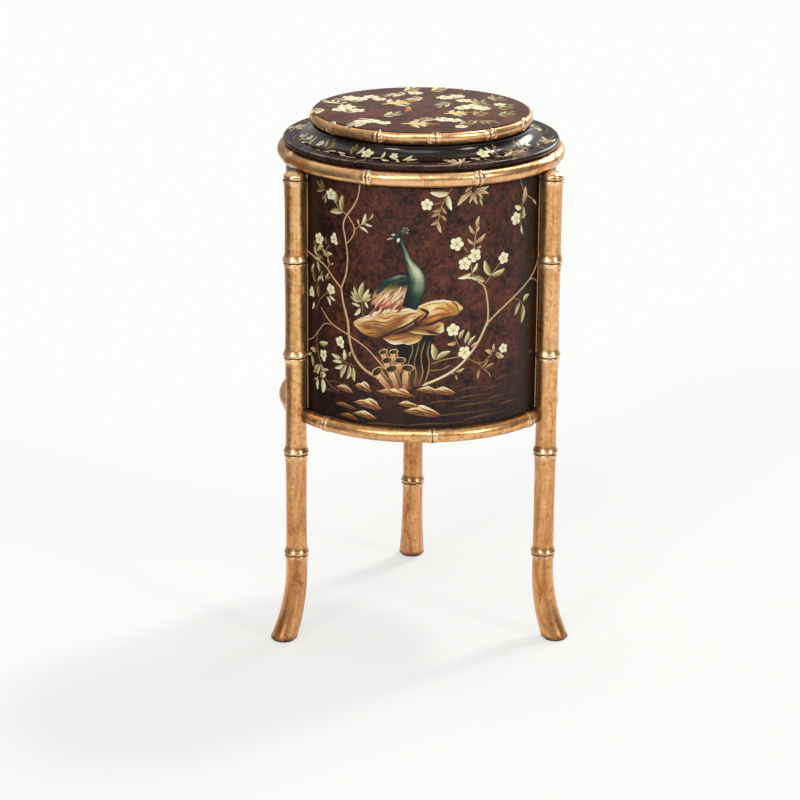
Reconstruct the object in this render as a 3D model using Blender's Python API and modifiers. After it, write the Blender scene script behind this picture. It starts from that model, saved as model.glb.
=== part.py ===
"""Drum side table: a hollow lacquered drum with a lift-off stepped lid, on three turned bamboo-style legs.

Units are metres, +Z is up and the front of the table faces -Y. An azimuth is counted in degrees from
the front, growing towards +X.
"""

import math

import bmesh
import bpy
from mathutils import Euler, Matrix, Vector

MM = 0.001

# Clearances
GAP = 0.3 * MM
LID_CLEARANCE = 1.5 * MM
CUTTER_MARGIN = 10.0 * MM
MERGE = 0.01 * MM

# Drum
DRUM_RADIUS = 160.0 * MM
DRUM_HEIGHT = 303.5 * MM
DRUM_WALL = 9.0 * MM
DRUM_UNDERSIDE = 274.0 * MM
MOUTH_ROUND = 2.0 * MM
BASE_HOOP_WIDTH = 12.0 * MM
BASE_HOOP_HEIGHT = 15.0 * MM
BASE_BOARD_THICKNESS = 9.0 * MM

# Legs
LEG_RADIUS = 12.7 * MM
LEG_LET_IN = 0.85 * MM
LEG_WAIST = 0.5 * MM
LEG_TOP_DROP = 1.0 * MM
CAP_HEIGHT = 8.1 * MM
CAP_DOME = 4.5 * MM
INTERNODE_LENGTHS = (97.0 * MM, 115.5 * MM, 120.5 * MM, 128.0 * MM)
KNUCKLE_REACH = 10.0 * MM
KNUCKLE_RIDGE = 2.6 * MM
KNUCKLE_SWELL = 2.0 * MM
KNUCKLE_LIP = 1.4 * MM
FOOT_SPLAY = 19.5 * MM
FOOT_SWEEP_HEIGHT = 90.0 * MM
FOOT_SWEEP_POWER = 2.1
FOOT_RADIUS = 15.0 * MM
PAD_THICKNESS = 2.0 * MM
PAD_INSET = 1.5 * MM

# Gilt rings and rails
RING_STANDOFF = 1.5 * MM
RAIL_TUBE = 8.5 * MM
EDGE_RING_TUBE = 8.8 * MM
TOP_RIM_TUBE = 8.26 * MM
TOP_RIM_STANDOFF = 4.0 * MM
RING_SWELL = 0.06
RING_KNUCKLE_REACH = 6.0 * MM
RING_KNUCKLE_RIDGE = 2.4 * MM
EDGE_RING_KNUCKLES = 8
EDGE_RING_PHASE = 21.0
TOP_RIM_KNUCKLES = 12
TOP_RIM_PHASE = 5.0
RAIL_KNUCKLES = 3
RAIL_KNUCKLE_PITCH = 47.0
RAIL_PHASE = 3.4

# Lid
LID_CORE_INSET = 3.0 * MM
LOCATOR_THICKNESS = 9.0 * MM
FLANGE_OVERHANG = 3.5 * MM
FLANGE_THICKNESS = 7.5 * MM
FLANGE_SHOULDER = 17.5 * MM
TOP_RECESS = 0.8 * MM
NECK_OVERHANG = 10.0 * MM
NECK_FLARE = 17.0 * MM
NECK_HEIGHT = 13.1 * MM
NECK_FILLET = 0.8 * MM

# Screws
SHANK_RADIUS = 2.0 * MM
HEAD_RADIUS = 4.0 * MM
HEAD_HEIGHT = 2.4 * MM
LEG_SCREW_BITE = 12.0 * MM
LEG_SCREW_DROP = 42.0 * MM
BASE_SCREW_BITE = 6.0 * MM
LID_SCREW_BITE = 9.0 * MM
LID_SCREW_INSET = 39.0 * MM
LID_SCREW_COUNT = 4
BASE_SCREW_OFFSETS = {"a": -30.0, "b": 30.0}

# Facets
TURN_STEPS = 48
SCREW_STEPS = 10
LEG_SIDES = 14
RING_SIDES = 10
RING_STEP = 9.0
FOOT_STEPS = 7
PAD_STEPS = 20
CAP_TOP_ANGLE = 65.0
SHARP_ANGLE = 40.0

LEG_AZIMUTHS = {"left": -60.0, "right": 60.0, "back": 180.0}
RAIL_AZIMUTHS = {"front": 0.0, "right": 120.0, "left": -120.0}

# Levels and radii that follow from the sizes above
DRUM_TOP = DRUM_UNDERSIDE + DRUM_HEIGHT
DRUM_BORE = DRUM_RADIUS - DRUM_WALL
HOOP_RADIUS = DRUM_BORE - GAP
HOOP_BORE = HOOP_RADIUS - BASE_HOOP_WIDTH
HOOP_TOP = DRUM_UNDERSIDE + BASE_HOOP_HEIGHT
BOARD_UNDERSIDE = HOOP_TOP + GAP
LEG_AXIS = DRUM_RADIUS + LEG_RADIUS - LEG_LET_IN
LEG_TOP = DRUM_TOP - LEG_TOP_DROP
FOOT_LEVEL = PAD_THICKNESS + GAP
RING_RADIUS = DRUM_RADIUS + RING_STANDOFF
RAIL_LEVEL = DRUM_UNDERSIDE + RAIL_TUBE
LID_SEAT = DRUM_TOP + GAP
LID_CORE_RADIUS = DRUM_RADIUS - LID_CORE_INSET
EDGE_RING_LEVEL = EDGE_RING_TUBE * (1 + RING_SWELL)
LID_CORE_TOP = 2 * EDGE_RING_LEVEL
FLANGE_UNDERSIDE = LID_CORE_TOP + GAP
FLANGE_TOP = FLANGE_UNDERSIDE + FLANGE_THICKNESS
FLANGE_RADIUS = DRUM_RADIUS + FLANGE_OVERHANG
NECK_UNDERSIDE = FLANGE_TOP + GAP
NECK_TOP = NECK_UNDERSIDE + NECK_HEIGHT
NECK_FOOT_RADIUS = FLANGE_RADIUS - FLANGE_SHOULDER
NECK_TOP_RADIUS = NECK_FOOT_RADIUS - NECK_FLARE
TOP_BOARD_RADIUS = NECK_TOP_RADIUS - NECK_OVERHANG
TOP_BOARD_UNDERSIDE = NECK_TOP + GAP
TOP_RIM_LEVEL = TOP_BOARD_UNDERSIDE + TOP_RIM_TUBE * (1 + RING_SWELL)
TOP_BOARD_TOP = TOP_RIM_LEVEL + TOP_RIM_TUBE - TOP_RECESS
TOP_RIM_RADIUS = TOP_BOARD_RADIUS + TOP_RIM_STANDOFF
LID_SCREW_CIRCLE = TOP_BOARD_RADIUS - LID_SCREW_INSET
LOCATOR_TOP = -GAP
LOCATOR_UNDERSIDE = LOCATOR_TOP - LOCATOR_THICKNESS

# Rotation of a screw that is driven upwards
HEAD_DOWN = (math.pi, 0, 0)

# Finishes: colour, roughness, metallic
FINISHES = {
    "gilt": ((0.58, 0.32, 0.14), 0.38, 0.75),
    "lacquer": ((0.085, 0.04, 0.03), 0.28, 0.0),
    "black_lacquer": ((0.016, 0.011, 0.010), 0.22, 0.0),
    "inner_wood": ((0.12, 0.055, 0.03), 0.6, 0.0),
    "felt": ((0.03, 0.022, 0.018), 0.95, 0.0),
    "steel": ((0.55, 0.5, 0.42), 0.35, 1.0),
}


def clear_scene():
    for obj in list(bpy.data.objects):
        bpy.data.objects.remove(obj, do_unlink=True)


def new_collection(name):
    collection = bpy.data.collections.new(name)
    bpy.context.scene.collection.children.link(collection)
    return collection


def new_material(name, colour, roughness, metallic):
    material = bpy.data.materials.new(name)
    material.use_nodes = True
    shader = material.node_tree.nodes["Principled BSDF"]
    shader.inputs["Base Color"].default_value = (*colour, 1.0)
    shader.inputs["Roughness"].default_value = roughness
    shader.inputs["Metallic"].default_value = metallic
    return material


class Bench:
    """Holds the collections, the empties and the materials, and adds pieces and cutters to them."""

    def __init__(self):
        self.parts = new_collection("drum_side_table")
        self.cutters = new_collection("cutters")
        self.cutters.hide_render = True
        self.materials = {name: new_material(name, *look) for name, look in FINISHES.items()}
        self.table_axis = self.empty("table_axis", None, 0.0)
        self.lid_axis = self.empty("lid_axis", self.table_axis, LID_SEAT)

    def empty(self, name, parent, height):
        marker = bpy.data.objects.new(name, None)
        marker.location.z = height
        marker.parent = parent
        self.parts.objects.link(marker)
        return marker

    def piece(self, name, mesh, finish, parent=None, location=(0, 0, 0), rotation=(0, 0, 0)):
        obj = bpy.data.objects.new(name, mesh)
        obj.parent = parent or self.table_axis
        obj.location = location
        obj.rotation_euler = rotation
        if not mesh.materials:
            mesh.materials.append(self.materials[finish])
        self.parts.objects.link(obj)
        return obj

    def cutter(self, name, mesh, parent=None, rotation=(0, 0, 0)):
        obj = bpy.data.objects.new("cut_" + name, mesh)
        obj.parent = parent or self.table_axis
        obj.rotation_euler = rotation
        obj.display_type = "WIRE"
        obj.hide_render = True
        self.cutters.objects.link(obj)
        return obj


def facing(azimuth):
    """Rotation that turns the local +X axis to an azimuth."""
    return (0, 0, math.radians(azimuth - 90))


def at_azimuth(azimuth, radius, height):
    """The point at an azimuth, a distance from the drum's axis and a height."""
    angle = math.radians(azimuth)
    return Vector((radius * math.sin(angle), -radius * math.cos(angle), height))


def subtract(obj, cutter):
    modifier = obj.modifiers.new("minus_" + cutter.name, "BOOLEAN")
    modifier.operation = "DIFFERENCE"
    modifier.object = cutter


def profile_mesh(name, points, closed):
    edges = [(i, i + 1) for i in range(len(points) - 1)]
    if closed:
        edges.append((len(points) - 1, 0))
    mesh = bpy.data.meshes.new(name)
    mesh.from_pydata([(radius, 0, height) for radius, height in points], edges, [])
    return mesh


def turn(obj, steps):
    modifier = obj.modifiers.new("turned", "SCREW")
    modifier.axis = "Z"
    modifier.angle = math.tau
    modifier.steps = steps
    modifier.render_steps = steps
    modifier.use_merge_vertices = True
    modifier.merge_threshold = MERGE
    modifier.use_smooth_shade = True


def turned_piece(bench, name, points, finish, closed=False, steps=TURN_STEPS, parent=None):
    """A turned piece from its profile, which runs down the outer side."""
    obj = bench.piece(name, profile_mesh(name, points, closed), finish, parent)
    turn(obj, steps)
    return obj


def arc(centre, radii, start, end, count):
    """Points of an elliptical arc in the profile plane, angles in degrees."""
    points = []
    for i in range(count + 1):
        angle = math.radians(start + (end - start) * i / count)
        points.append((centre[0] + radii[0] * math.cos(angle), centre[1] + radii[1] * math.sin(angle)))
    return points


def disc_profile(radius, low, high):
    """Profile of a plain round board."""
    return [(0, high), (radius, high), (radius, low), (0, low)]


def cylinders_mesh(name, radius, spans, segments):
    """A cutter mesh of round bars, each from one point to another."""
    bm = bmesh.new()
    for start, end in spans:
        along = end - start
        turned_to = along.to_track_quat("Z", "Y").to_matrix().to_4x4()
        place = Matrix.Translation((start + end) / 2) @ turned_to
        bmesh.ops.create_cone(
            bm,
            cap_ends=True,
            segments=segments,
            radius1=radius,
            radius2=radius,
            depth=along.length,
            matrix=place,
        )
    mesh = bpy.data.meshes.new(name)
    bm.to_mesh(mesh)
    bm.free()
    return mesh


def tube_mesh(name, stations, cyclic, sides):
    """A closed mesh of a tube along stations, each a point and the tube's radius there."""
    curve = bpy.data.curves.new(name + "_path", "CURVE")
    curve.dimensions = "3D"
    curve.bevel_depth = 1.0
    curve.bevel_resolution = (sides - 4) // 2
    curve.use_fill_caps = not cyclic
    spline = curve.splines.new("POLY")
    spline.points.add(len(stations) - 1)
    spline.use_cyclic_u = cyclic
    for point, (place, radius) in zip(spline.points, stations):
        point.co = (*place, 1.0)
        point.radius = radius
    guide = bpy.data.objects.new(name + "_guide", curve)
    bpy.context.scene.collection.objects.link(guide)
    graph = bpy.context.evaluated_depsgraph_get()
    mesh = bpy.data.meshes.new_from_object(guide.evaluated_get(graph))
    mesh.name = name
    mesh.materials.clear()
    bpy.data.objects.remove(guide)
    bpy.data.curves.remove(curve)
    bm = bmesh.new()
    bm.from_mesh(mesh)
    bmesh.ops.remove_doubles(bm, verts=bm.verts, dist=MERGE)
    bmesh.ops.recalc_face_normals(bm, faces=bm.faces)
    bm.to_mesh(mesh)
    bm.free()
    mesh.shade_smooth()
    mesh.set_sharp_from_angle(angle=math.radians(SHARP_ANGLE))
    return mesh


# Drum


def make_drum(bench):
    """The round wall, the hoop inside its foot, the floor board and the screws that hold it."""
    outer = [(DRUM_RADIUS, DRUM_UNDERSIDE)]
    rounded = arc((DRUM_RADIUS - MOUTH_ROUND, DRUM_TOP - MOUTH_ROUND), (MOUTH_ROUND, MOUTH_ROUND), 90, 0, 2)
    inner = [(DRUM_BORE, DRUM_UNDERSIDE), (DRUM_BORE, DRUM_TOP)]
    shell = turned_piece(bench, "drum_shell", rounded + outer + inner, "lacquer", closed=True)

    hoop_profile = [
        (HOOP_RADIUS, HOOP_TOP),
        (HOOP_RADIUS, DRUM_UNDERSIDE),
        (HOOP_BORE, DRUM_UNDERSIDE),
        (HOOP_BORE, HOOP_TOP),
    ]
    hoop = turned_piece(bench, "base_hoop", hoop_profile, "inner_wood", closed=True)

    board_top = BOARD_UNDERSIDE + BASE_BOARD_THICKNESS
    board_profile = disc_profile(HOOP_RADIUS, BOARD_UNDERSIDE, board_top)
    board = turned_piece(bench, "base_board", board_profile, "inner_wood")

    screw_circle = (HOOP_RADIUS + HOOP_BORE) / 2
    tip = BOARD_UNDERSIDE + BASE_SCREW_BITE
    head_seat = DRUM_UNDERSIDE - GAP
    mesh = screw_mesh("base_screw", tip - head_seat)
    spans = []
    for side, azimuth in RAIL_AZIMUTHS.items():
        for letter, offset in BASE_SCREW_OFFSETS.items():
            place = at_azimuth(azimuth + offset, screw_circle, head_seat)
            name = f"base_screw_{side}_{letter}"
            turn(bench.piece(name, mesh, "steel", location=place, rotation=HEAD_DOWN), SCREW_STEPS)
            spans.append((place, place + Vector((0, 0, tip + GAP - head_seat))))
    holes = bench.cutter("base_screws", cylinders_mesh("base_holes", SHANK_RADIUS + GAP, spans, SCREW_STEPS))
    subtract(hoop, holes)
    subtract(board, holes)
    return shell, hoop


def screw_mesh(name, length):
    """Profile of a round-headed wood screw: its head's seat is at 0, the head above and the shank below."""
    head = arc((0, HEAD_HEIGHT / 2), (HEAD_RADIUS, HEAD_HEIGHT / 2), 90, 0, 3)
    point_start = -length + 2 * SHANK_RADIUS
    shank = [(HEAD_RADIUS, 0), (SHANK_RADIUS, 0), (SHANK_RADIUS, point_start), (0, -length)]
    head[0] = (0, HEAD_HEIGHT)
    return profile_mesh(name, head + shank, closed=False)


# Legs


def knuckle_levels():
    """Heights of the grooves in a leg's knuckles, from the cap down."""
    levels = [LEG_TOP - CAP_HEIGHT]
    for length in INTERNODE_LENGTHS:
        levels.append(levels[-1] - length)
    return levels


def leg_centre(height):
    """Distance of the leg's centre line from the drum's axis: straight above, swept out at the foot."""
    share = max(0.0, (FOOT_SWEEP_HEIGHT - height) / FOOT_SWEEP_HEIGHT)
    return LEG_AXIS + FOOT_SPLAY * share**FOOT_SWEEP_POWER


def leg_stations(extra=0.0):
    """Height and radius of each ring of a leg, from the cap's dome down past the floor."""
    cap_radius = LEG_RADIUS + KNUCKLE_SWELL
    dome_centre = LEG_TOP - CAP_DOME
    dome = arc((0, dome_centre), (cap_radius, CAP_DOME), CAP_TOP_ANGLE, 0, 3)
    rings = [(height, radius) for radius, height in dome]
    levels = knuckle_levels()
    for index, level in enumerate(levels):
        if index:
            rings.append((level + KNUCKLE_REACH, LEG_RADIUS))
            rings.append((level + KNUCKLE_REACH / 2, LEG_RADIUS + KNUCKLE_SWELL / 3))
            rings.append((level + KNUCKLE_RIDGE, cap_radius))
        rings.append((level, LEG_RADIUS))
        rings.append((level - KNUCKLE_RIDGE / 2, LEG_RADIUS + KNUCKLE_LIP))
        rings.append((level - KNUCKLE_RIDGE * 2, LEG_RADIUS + KNUCKLE_LIP * 2 / 3))
        rings.append((level - KNUCKLE_REACH, LEG_RADIUS))
        if index + 1 < len(levels):
            rings.append(((level + levels[index + 1]) / 2, LEG_RADIUS - LEG_WAIST))
    foot_top = levels[-1] - KNUCKLE_REACH
    for step in range(1, FOOT_STEPS + 1):
        share = step / FOOT_STEPS
        height = foot_top - (foot_top + CUTTER_MARGIN) * share
        rings.append((height, LEG_RADIUS + (FOOT_RADIUS - LEG_RADIUS) * share**2))
    return [(Vector((leg_centre(height), 0, height)), radius + extra) for height, radius in rings]


def make_legs(bench, shell, hoop):
    """Three legs let in against the wall, their screws and their foot pads."""
    seat_low = Vector((0, 0, DRUM_UNDERSIDE - GAP))
    seat_high = Vector((0, 0, DRUM_TOP + CUTTER_MARGIN))
    wall_mesh = cylinders_mesh("wall_seat", DRUM_RADIUS + GAP, [(seat_low, seat_high)], TURN_STEPS)
    wall_seat = bench.cutter("wall_seat", wall_mesh)
    floor_half = LEG_AXIS + FOOT_SPLAY + FOOT_RADIUS + CUTTER_MARGIN
    floor = bench.cutter("floor", box_mesh("floor", floor_half, -2 * CUTTER_MARGIN, FOOT_LEVEL))

    upper = DRUM_TOP - LEG_SCREW_DROP
    lower = (DRUM_UNDERSIDE + HOOP_TOP) / 2
    tip = DRUM_RADIUS + GAP + LEG_SCREW_BITE
    seats = {"upper": (upper, DRUM_BORE - GAP), "lower": (lower, HOOP_BORE - GAP)}
    spans = []
    for azimuth in LEG_AZIMUTHS.values():
        for height, seat in seats.values():
            spans.append((at_azimuth(azimuth, seat, height), at_azimuth(azimuth, tip + GAP, height)))
    pilots = bench.cutter("leg_screws", cylinders_mesh("leg_holes", SHANK_RADIUS + GAP, spans, SCREW_STEPS))
    subtract(shell, pilots)
    subtract(hoop, pilots)

    leg_mesh = tube_mesh("leg", leg_stations(), False, LEG_SIDES)
    screws = {level: screw_mesh(f"leg_screw_{level}", tip - seat) for level, (_, seat) in seats.items()}
    pad_mesh = profile_mesh("foot_pad", disc_profile(FOOT_RADIUS - PAD_INSET, 0, PAD_THICKNESS), closed=False)
    for side, azimuth in LEG_AZIMUTHS.items():
        leg = bench.piece(f"leg_{side}", leg_mesh, "gilt", rotation=facing(azimuth))
        subtract(leg, wall_seat)
        subtract(leg, pilots)
        subtract(leg, floor)
        for level, (height, seat) in seats.items():
            screw = bench.piece(
                f"leg_screw_{side}_{level}",
                screws[level],
                "steel",
                location=at_azimuth(azimuth, seat, height),
                rotation=inward_screw(azimuth),
            )
            turn(screw, SCREW_STEPS)
        pad_place = at_azimuth(azimuth, leg_centre(FOOT_LEVEL), 0)
        pad = bench.piece(f"foot_pad_{side}", pad_mesh, "felt", location=pad_place, rotation=facing(azimuth))
        turn(pad, PAD_STEPS)


def inward_screw(azimuth):
    """Rotation that points a screw's head at the drum's axis and its tip outwards."""
    lay_down = Euler((0, -math.pi / 2, 0)).to_matrix()
    swing = Euler(facing(azimuth)).to_matrix()
    return (swing @ lay_down).to_euler()


def box_mesh(name, half_width, low, high):
    """A square cutter block between two heights."""
    bm = bmesh.new()
    sides = Matrix.Diagonal((2 * half_width, 2 * half_width, high - low, 1))
    bmesh.ops.create_cube(bm, size=1.0, matrix=Matrix.Translation((0, 0, (low + high) / 2)) @ sides)
    mesh = bpy.data.meshes.new(name)
    bm.to_mesh(mesh)
    bm.free()
    return mesh


# Gilt rings and rails


def ring_stations(radius, tube, knuckles, start, end):
    """Points of a bamboo ring or arc in the horizontal plane, thicker at its knuckles (azimuths, degrees)."""
    ring = []
    reach = math.degrees(RING_KNUCKLE_REACH / radius)
    ridge = math.degrees(RING_KNUCKLE_RIDGE / radius)
    last = start
    for knuckle in knuckles:
        run = knuckle - reach - last
        count = max(1, math.ceil(run / RING_STEP))
        ring += [(last + run * i / count, tube) for i in range(count)]
        ring += [(knuckle - reach, tube), (knuckle - ridge, tube * (1 + RING_SWELL)), (knuckle, tube)]
        ring.append((knuckle + ridge, tube * (1 + RING_SWELL)))
        last = knuckle + reach
    count = max(1, math.ceil((end - last) / RING_STEP))
    ring += [(last + (end - last) * i / count, tube) for i in range(count + 1)]
    return [(at_azimuth(azimuth, radius, 0), thickness) for azimuth, thickness in ring]


def make_ring(bench, name, radius, level, tube, count, phase, seat_radius):
    """A closed bamboo ring round a board, flat against the board's edge."""
    pitch = 360.0 / count
    knuckles = [phase + pitch * i for i in range(count)]
    start = phase - pitch / 2
    stations = ring_stations(radius, tube, knuckles, start, start + 360.0)[:-1]
    mesh = tube_mesh(name, stations, True, RING_SIDES)
    ring = bench.piece(name, mesh, "gilt", bench.lid_axis, location=(0, 0, level))
    low = Vector((0, 0, level - 2 * tube))
    high = Vector((0, 0, level + 2 * tube))
    seat_mesh = cylinders_mesh(name + "_seat", seat_radius + GAP, [(low, high)], TURN_STEPS)
    subtract(ring, bench.cutter(name + "_seat", seat_mesh, bench.lid_axis))


def make_rails(bench):
    """Three arcs of bamboo moulding round the drum's foot, scribed to the wall and to the legs."""
    clearance_mesh = tube_mesh("leg_clearance", leg_stations(GAP), False, LEG_SIDES)
    legs = {}
    for side, azimuth in LEG_AZIMUTHS.items():
        legs[side] = bench.cutter(f"leg_clearance_{side}", clearance_mesh, rotation=facing(azimuth))
    low = Vector((0, 0, RAIL_LEVEL - 2 * RAIL_TUBE))
    high = Vector((0, 0, RAIL_LEVEL + 2 * RAIL_TUBE))
    wall_mesh = cylinders_mesh("rail_seat", DRUM_RADIUS + GAP, [(low, high)], TURN_STEPS)
    wall = bench.cutter("rail_seat", wall_mesh)
    half_span = 180.0 / len(RAIL_AZIMUTHS) - math.degrees(LEG_RADIUS / 4 / RING_RADIUS)
    middle = (RAIL_KNUCKLES - 1) / 2
    knuckles = [RAIL_PHASE + RAIL_KNUCKLE_PITCH * (i - middle) for i in range(RAIL_KNUCKLES)]
    stations = ring_stations(RING_RADIUS, RAIL_TUBE, knuckles, -half_span, half_span)
    mesh = tube_mesh("lower_rail", stations, False, RING_SIDES)
    for side, azimuth in RAIL_AZIMUTHS.items():
        name = f"lower_rail_{side}"
        turned_by = (0, 0, math.radians(azimuth))
        rail = bench.piece(name, mesh, "gilt", location=(0, 0, RAIL_LEVEL), rotation=turned_by)
        subtract(rail, wall)
        for leg_side, leg_azimuth in LEG_AZIMUTHS.items():
            apart = abs((leg_azimuth - azimuth + 180.0) % 360.0 - 180.0)
            if apart < 90.0:
                subtract(rail, legs[leg_side])


# Lid


def make_lid(bench):
    """The stepped lid: locating disc, core, flange, hollow neck, top board, two gilt rings and the screws."""
    lid = bench.lid_axis
    locator_radius = DRUM_BORE - LID_CLEARANCE
    locator_profile = disc_profile(locator_radius, LOCATOR_UNDERSIDE, LOCATOR_TOP)
    locator = turned_piece(bench, "lid_locator", locator_profile, "inner_wood", parent=lid)
    core_profile = disc_profile(LID_CORE_RADIUS, 0, LID_CORE_TOP)
    core = turned_piece(bench, "lid_core", core_profile, "black_lacquer", parent=lid)

    half = FLANGE_THICKNESS / 2
    nose = arc((FLANGE_RADIUS - half, FLANGE_UNDERSIDE + half), (half, half), 90, -90, 6)
    flange_profile = [(0, FLANGE_TOP)] + nose + [(0, FLANGE_UNDERSIDE)]
    flange = turned_piece(bench, "lid_flange", flange_profile, "black_lacquer", parent=lid)

    hollow_centre = (NECK_FOOT_RADIUS, NECK_TOP)
    hollow = arc(hollow_centre, (NECK_FLARE, NECK_HEIGHT - NECK_FILLET), 180, 270, 6)
    neck_profile = [(0, NECK_TOP)] + hollow + [(NECK_FOOT_RADIUS, NECK_UNDERSIDE), (0, NECK_UNDERSIDE)]
    neck = turned_piece(bench, "lid_neck", neck_profile, "black_lacquer", parent=lid)

    top_profile = disc_profile(TOP_BOARD_RADIUS, TOP_BOARD_UNDERSIDE, TOP_BOARD_TOP)
    top = turned_piece(bench, "lid_top_board", top_profile, "lacquer", parent=lid)

    make_ring(
        bench,
        "lid_edge_ring",
        RING_RADIUS,
        EDGE_RING_LEVEL,
        EDGE_RING_TUBE,
        EDGE_RING_KNUCKLES,
        EDGE_RING_PHASE,
        LID_CORE_RADIUS,
    )
    make_ring(
        bench,
        "lid_top_rim",
        TOP_RIM_RADIUS,
        TOP_RIM_LEVEL,
        TOP_RIM_TUBE,
        TOP_RIM_KNUCKLES,
        TOP_RIM_PHASE,
        TOP_BOARD_RADIUS,
    )

    head_seat = LOCATOR_UNDERSIDE - GAP
    tip = TOP_BOARD_UNDERSIDE + LID_SCREW_BITE
    mesh = screw_mesh("lid_screw", tip - head_seat)
    spans = []
    for index in range(LID_SCREW_COUNT):
        azimuth = 360.0 * (index + 0.5) / LID_SCREW_COUNT
        place = at_azimuth(azimuth, LID_SCREW_CIRCLE, head_seat)
        name = f"lid_screw_{index + 1}"
        turn(bench.piece(name, mesh, "steel", lid, location=place, rotation=HEAD_DOWN), SCREW_STEPS)
        spans.append((place, place + Vector((0, 0, tip + GAP - head_seat))))
    holes_mesh = cylinders_mesh("lid_holes", SHANK_RADIUS + GAP, spans, SCREW_STEPS)
    holes = bench.cutter("lid_screws", holes_mesh, lid)
    for board in (locator, core, flange, neck, top):
        subtract(board, holes)


def centre_over_floor(bench):
    """Moves the table so that the origin lies on the floor under the middle of its box."""
    bpy.context.view_layer.update()
    graph = bpy.context.evaluated_depsgraph_get()
    corners = []
    for obj in bench.parts.objects:
        if obj.type == "MESH":
            evaluated = obj.evaluated_get(graph)
            corners += [evaluated.matrix_world @ vertex.co for vertex in evaluated.data.vertices]
    for axis in (0, 1):
        values = [corner[axis] for corner in corners]
        bench.table_axis.location[axis] -= (min(values) + max(values)) / 2


def main():
    clear_scene()
    bench = Bench()
    shell, hoop = make_drum(bench)
    make_legs(bench, shell, hoop)
    make_rails(bench)
    make_lid(bench)
    centre_over_floor(bench)


main()
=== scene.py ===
"""Looks of the drum side table: a japanned drum with a stepped lid, in a frame of gilded bamboo canes.

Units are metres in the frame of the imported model. An azimuth is counted in degrees about the drum's axis
from the front (-Y), growing towards +X.
"""

import logging
import math
from collections.abc import Iterable, Mapping, Sequence
from dataclasses import dataclass, field
from enum import Enum
from functools import lru_cache

import bmesh
import bpy
from mathutils import Matrix, Vector


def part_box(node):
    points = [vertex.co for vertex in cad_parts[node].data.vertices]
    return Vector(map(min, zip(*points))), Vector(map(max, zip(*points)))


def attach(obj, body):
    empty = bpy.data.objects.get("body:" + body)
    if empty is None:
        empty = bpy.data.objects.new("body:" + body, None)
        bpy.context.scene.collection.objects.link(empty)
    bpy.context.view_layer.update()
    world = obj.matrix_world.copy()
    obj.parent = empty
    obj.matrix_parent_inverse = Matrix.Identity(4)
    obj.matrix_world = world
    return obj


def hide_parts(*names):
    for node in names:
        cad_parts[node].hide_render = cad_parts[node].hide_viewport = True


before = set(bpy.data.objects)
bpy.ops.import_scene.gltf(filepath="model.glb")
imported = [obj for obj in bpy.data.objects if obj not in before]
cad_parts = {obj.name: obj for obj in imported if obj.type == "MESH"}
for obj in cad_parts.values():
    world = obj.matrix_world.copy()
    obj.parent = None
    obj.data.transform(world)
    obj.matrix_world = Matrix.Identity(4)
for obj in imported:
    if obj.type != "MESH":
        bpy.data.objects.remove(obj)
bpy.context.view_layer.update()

MM = 0.001
MERGE = 0.005 * MM
FULL_TURN = 360.0
UP = Vector((0, 0, 1))
LEG_AZIMUTHS = {"left": -60.0, "right": 60.0, "back": 180.0}
PANEL_AZIMUTHS = {"front": 0.0, "right": 120.0, "left": -120.0}
LOG = logging.getLogger("drum_table")

Colour = tuple[float, float, float]
Point2 = tuple[float, float]
Line = Sequence[Point2]
Material = bpy.types.Material


class Body(Enum):
    """The two bodies of the table."""

    BASE = "base"
    LID = "lid"


class Slot(Enum):
    """The material slots of the table."""

    GILT = "gilt_bamboo"
    PAINTED = "painted_lacquer"
    BLACK = "black_lacquer"
    WOOD = "inner_wood"
    FELT = "foot_felt"
    METAL = "screw_metal"


@lru_cache(maxsize=None)
def node_box(node: str) -> tuple[Vector, Vector]:
    """The lowest and highest corner of a CAD node, measured once."""
    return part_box(node)


def round_size(node: str) -> tuple[float, float, float]:
    """The radius, underside and top of a round CAD node."""
    low, high = node_box(node)
    return (high.x - low.x) / 2, low.z, high.z


def drum_axis() -> Vector:
    """The foot of the drum's axis on the floor."""
    low, high = node_box("drum_shell")
    return ((low + high) / 2).xy.to_3d()


AXIS = drum_axis()


def outward(azimuth: float) -> Vector:
    """The level direction away from the drum's axis at an azimuth in degrees."""
    angle = math.radians(azimuth)
    return Vector((math.sin(angle), -math.cos(angle), 0))


def at_azimuth(azimuth: float, radius: float, height: float) -> Vector:
    """The point at an azimuth in degrees, a distance from the drum's axis and a height."""
    return AXIS + outward(azimuth) * radius + UP * height


def from_axis(point: Vector) -> Vector:
    """The level way from the drum's axis to a point."""
    return (point - AXIS).xy.to_3d()


def thinned(values: Iterable[float], least: float) -> list[float]:
    """Sorts values and leaves out those too near the one before.

    Args:
        values: The values in any order.
        least: The smallest step that stays.

    Returns:
        The values that stay, rising.
    """
    kept: list[float] = []
    for value in sorted(values):
        if not kept or value - kept[-1] > least:
            kept.append(value)
    return kept


def smooth(share: float) -> float:
    """A share from 0 to 1 that eases in and out; it is clamped outside them."""
    share = min(1.0, max(0.0, share))
    return share * share * (3 - 2 * share)


def arc(centre: Point2, radii: Point2, start: float, end: float, count: int) -> list[Point2]:
    """Points of an elliptical arc in the profile plane.

    Args:
        centre: Radius and height of the arc's centre.
        radii: The arc's half axes, across and up.
        start: First angle in degrees.
        end: Last angle in degrees.
        count: Number of steps.

    Returns:
        The points as (radius, height).
    """
    points = []
    for step in range(count + 1):
        angle = math.radians(start + (end - start) * step / count)
        points.append((centre[0] + radii[0] * math.cos(angle), centre[1] + radii[1] * math.sin(angle)))
    return points


# Shaders


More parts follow.
